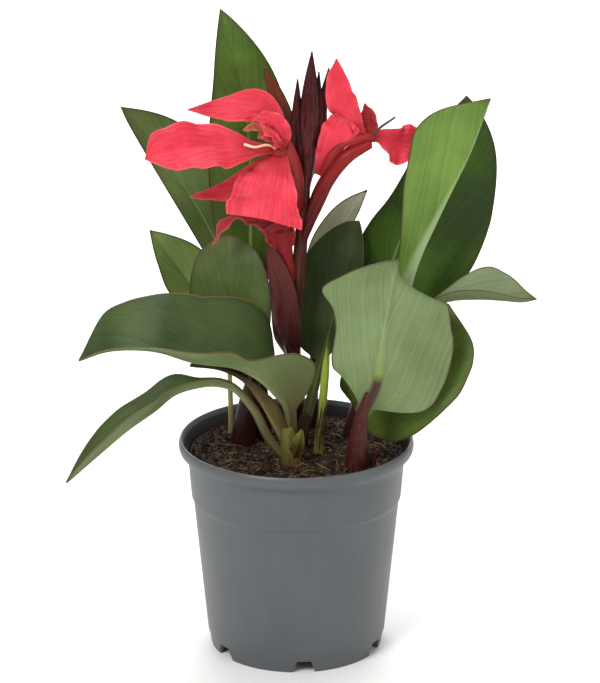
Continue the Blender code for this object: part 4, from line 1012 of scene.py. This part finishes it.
# %% Cutting the foot
NOTCHES = 6
FIRST_NOTCH = -85.0  # degrees round from +X, so that one notch is nearly in front
# Painted shade: the inner wall takes the darker plastic between these heights.
PAINTED_SHADE_SPAN = (0.02, 0.154)  # the inner wall is dark from here to here, in metres
cutters = bpy.data.collections.new("foot_cutters")
for k in range(NOTCHES):
    turn = math.radians(FIRST_NOTCH + 360.0 / NOTCHES * k)
    out = np.array([math.cos(turn), math.sin(turn), 0.0])
    side = np.array([-math.sin(turn), math.cos(turn), 0.0])
    corners = [out * r + side * x + np.array([0.0, 0.0, z]) for r in (FOOT_RADIUS - 8.0, FOOT_RADIUS + 8.0)
               for x, z in ((-9, -2), (9, -2), (5, 9), (-5, 9))]
    walls = [(3, 2, 1, 0), (4, 5, 6, 7), (0, 1, 5, 4), (1, 2, 6, 5), (2, 3, 7, 6), (3, 0, 4, 7)]
    box = add_piece("notch_cutter", corners, walls, [plastic])
    turn += math.pi / NOTCHES
    x, y = 45.0 * math.cos(turn), 45.0 * math.sin(turn)
    rod_points, rod_faces = lathe([(0.0, 4.0), (4.5, 4.0), (4.5, 16.0), (0.0, 16.0)], 28)
    rod = add_piece("hole_cutter", [(px + x, py + y, pz) for px, py, pz in rod_points], rod_faces, [plastic])
    for cutter in (box, rod):
        bpy.context.scene.collection.objects.unlink(cutter)
        cutters.objects.link(cutter)
cutting = pot.modifiers.new("foot", "BOOLEAN")
cutting.operand_type = "COLLECTION"
cutting.collection = cutters
cutting.solver = "EXACT"
bpy.context.view_layer.update()
carved = bpy.data.meshes.new_from_object(pot.evaluated_get(bpy.context.evaluated_depsgraph_get()))
pot.modifiers.clear()
pot.data = carved
carved.set_sharp_from_angle(angle=math.radians(32))
# Faces that look inwards between these heights get the plastic with painted shade.
for face in carved.polygons:
    inward = face.center.x * face.normal.x + face.center.y * face.normal.y < 0
    face.material_index = 1 if inward and PAINTED_SHADE_SPAN[0] < face.center.z < PAINTED_SHADE_SPAN[1] else 0
for cutter in list(cutters.objects):
    bpy.data.objects.remove(cutter)
bpy.data.collections.remove(cutters)
place(pot, "nursery_pot", "pot_plastic")
print("pot faces after cutting:", len(carved.polygons))

# %% [markdown]
# ## Potting soil
# The soil is peat and bark: dark brown crumbs from 1 to 4 mm, with pale root hairs and straw across it.
# The ground between the crumbs is one mounded disc, rough at every scale. Crumbs are small broken
# stones of twenty faces each, and fibres are thin bent rods.

# %% Soil material
def crumb_skin(name, dark, light, flecks, share):
    """Matt soil crumb: mottled brown with a few paler flecks, rough at every scale."""
    skin, tree = new_material(name, 0.95, Specular_IOR_Level=0.25)
    spot = add_node(tree, "TexCoord", out="Object")
    mottle = add_node(tree, "TexNoise", {"Vector": spot, "Scale": 190.0, "Detail": 6.0})
    colour = add_node(tree, "ValToRGB", [mottle], [(0.38, dark), (0.66, light)])
    fleck = add_node(tree, "TexNoise", {"Vector": spot, "Scale": 520.0, "Detail": 3.0})
    colour = tint(tree, colour, fleck, (0.6, 0.7, 0.0, share), flecks)
    return finish_skin(skin, colour, mottle, 0.9, 0.0008)


# Damp peat swallows light, milled bark is a shade warmer, and dry roots are straw-pale against both.
PEAT = crumb_skin("peat_and_bark", "#150d07", "#342419", "#6a543c", 0.45)
BARK = crumb_skin("bark_crumb", "#2c1d14", "#5e4632", "#927a5a", 0.45)
STRAW = crumb_skin("dry_root_fibre", "#6e5a3c", "#a08a64", "#d6c8a4", 0.35)
print("soil skins: 3")

# %% [markdown]
# ## Soil shape
# The disc is drawn as rings and raised by two sizes of noise. Crumbs and fibres are strewn with seeded
# random numbers, so that every run gives the same soil.

# %% Soil shape
SOIL_RADIUS, SOIL_TOP, SOIL_FALL = 77.0, 149.0, 1.6
RINGS, SPOKES = 60, 180


def fallen(radius):
    """How far the soil has sunk at a radius: it is lowest along the wall."""
    return SOIL_FALL * (radius / SOIL_RADIUS) ** 3


random = np.random.default_rng(5)
disc = [(0.0, 0.0, SOIL_TOP + 0.2)]
for r in np.linspace(0.0, SOIL_RADIUS - 0.1, RINGS)[1:]:
    for x, y in round_places(r, SPOKES):
        broad = noise.noise(Vector((x / 14, y / 14, 0.0)))
        fine = noise.noise(Vector((x / 3.2, y / 3.2, 4.0)))
        swell = (1.1 * broad + 0.9 * fine) * min(1.0, (SOIL_RADIUS + 0.6 - r) / 3.0)
        disc.append((x, y, SOIL_TOP - fallen(r) + swell))
skirt = [(77.0, 146.0), (76.9, 143.0)]
for r, z in skirt:
    disc += [(x, y, z) for x, y in round_places(r, SPOKES)]
faces = [[0, 1 + k, 1 + (k + 1) % SPOKES] for k in range(SPOKES)]
last_ring = 1 + (RINGS - 2 + len(skirt)) * SPOKES
for first in range(1, last_ring, SPOKES):
    for k in range(SPOKES):
        a, b = first + k, first + (k + 1) % SPOKES
        faces.append([a, a + SPOKES, b + SPOKES, b])
faces.append([last_ring + k for k in range(SPOKES - 1, -1, -1)])
ground = (np.array(disc), faces, np.zeros(len(faces), int), {})
print("soil surface points:", len(disc))

# %% [markdown]
# ## Crumbs and fibres
# Peat breaks into crumbs of 1 to 4 mm, and fine roots and straw of 5 to 24 mm lie across them. A crumb
# starts as a stone of twenty faces, and is stretched and turned at random. A fibre is a bent rod. They
# are real shapes, since bump alone looks flat at the rim, where the soil is seen at a low angle.

# %% Crumbs and fibres
CRUMBS, FIBRES = 3200, 150
golden = (1 + math.sqrt(5)) / 2
stone = unit([(-1, golden, 0), (1, golden, 0), (-1, -golden, 0), (1, -golden, 0),
              (0, -1, golden), (0, 1, golden), (0, -1, -golden), (0, 1, -golden),
              (golden, 0, -1), (golden, 0, 1), (-golden, 0, -1), (-golden, 0, 1)])
stone_faces = [(0, 11, 5), (0, 5, 1), (0, 1, 7), (0, 7, 10), (0, 10, 11),
               (1, 5, 9), (5, 11, 4), (11, 10, 2), (10, 7, 6), (7, 1, 8),
               (3, 9, 4), (3, 4, 2), (3, 2, 6), (3, 6, 8), (3, 8, 9),
               (4, 9, 5), (2, 4, 11), (6, 2, 10), (8, 6, 7), (9, 8, 1)]
parts = [(ground, 0)]
for i in range(CRUMBS):
    r, a = 75.5 * math.sqrt(random.uniform()), random.uniform(0, 2 * math.pi)
    size = random.uniform(0.6, 1.5) if random.uniform() < 0.8 else random.uniform(1.5, 2.6)
    size = min(size, 76.6 - r)
    shape = stone * random.uniform(0.6, 1.25, (12, 1)) * size * random.uniform(0.6, 1.3, 3)
    spin = random.uniform(0, 6.28, 2)[0]
    c, s = math.cos(spin), math.sin(spin)
    shape = shape @ np.array([(c, s, 0), (-s, c, 0), (0, 0, 1)])
    z = SOIL_TOP - 0.2 - fallen(r) + random.uniform(-0.3, 0.7)
    shape = shape + np.array([r * math.cos(a), r * math.sin(a), z])
    parts.append(((shape, stone_faces, np.zeros(20, int), {}), 1 if random.uniform() < 0.35 else 0))
for i in range(FIBRES):
    r, a = 70.0 * math.sqrt(random.uniform()), random.uniform(0, 2 * math.pi)
    start = np.array([r * math.cos(a), r * math.sin(a), SOIL_TOP + 1.2 - fallen(r)])
    heading, length = random.uniform(0, 6.28), random.uniform(5, 24)
    line = [start]
    for k in range(3):
        heading += random.uniform(-0.7, 0.7)
        onward = np.array([math.cos(heading), math.sin(heading), random.uniform(-0.25, 0.2)])
        line.append(line[-1] + onward * length / 3)
    if max(np.hypot(p[0], p[1]) for p in line) < 74.0:
        body = tube_mesh(line, (0.1, 0.17, 0.15, 0.08), i, 5, 8, 0.0)
        parts.append(((body[0], body[1], body[2], {}), 2))
faces_made = add_body("potting_soil", "_bed", joined(parts), [PEAT, BARK, STRAW], "potting_soil", 30)
print("soil faces:", faces_made)
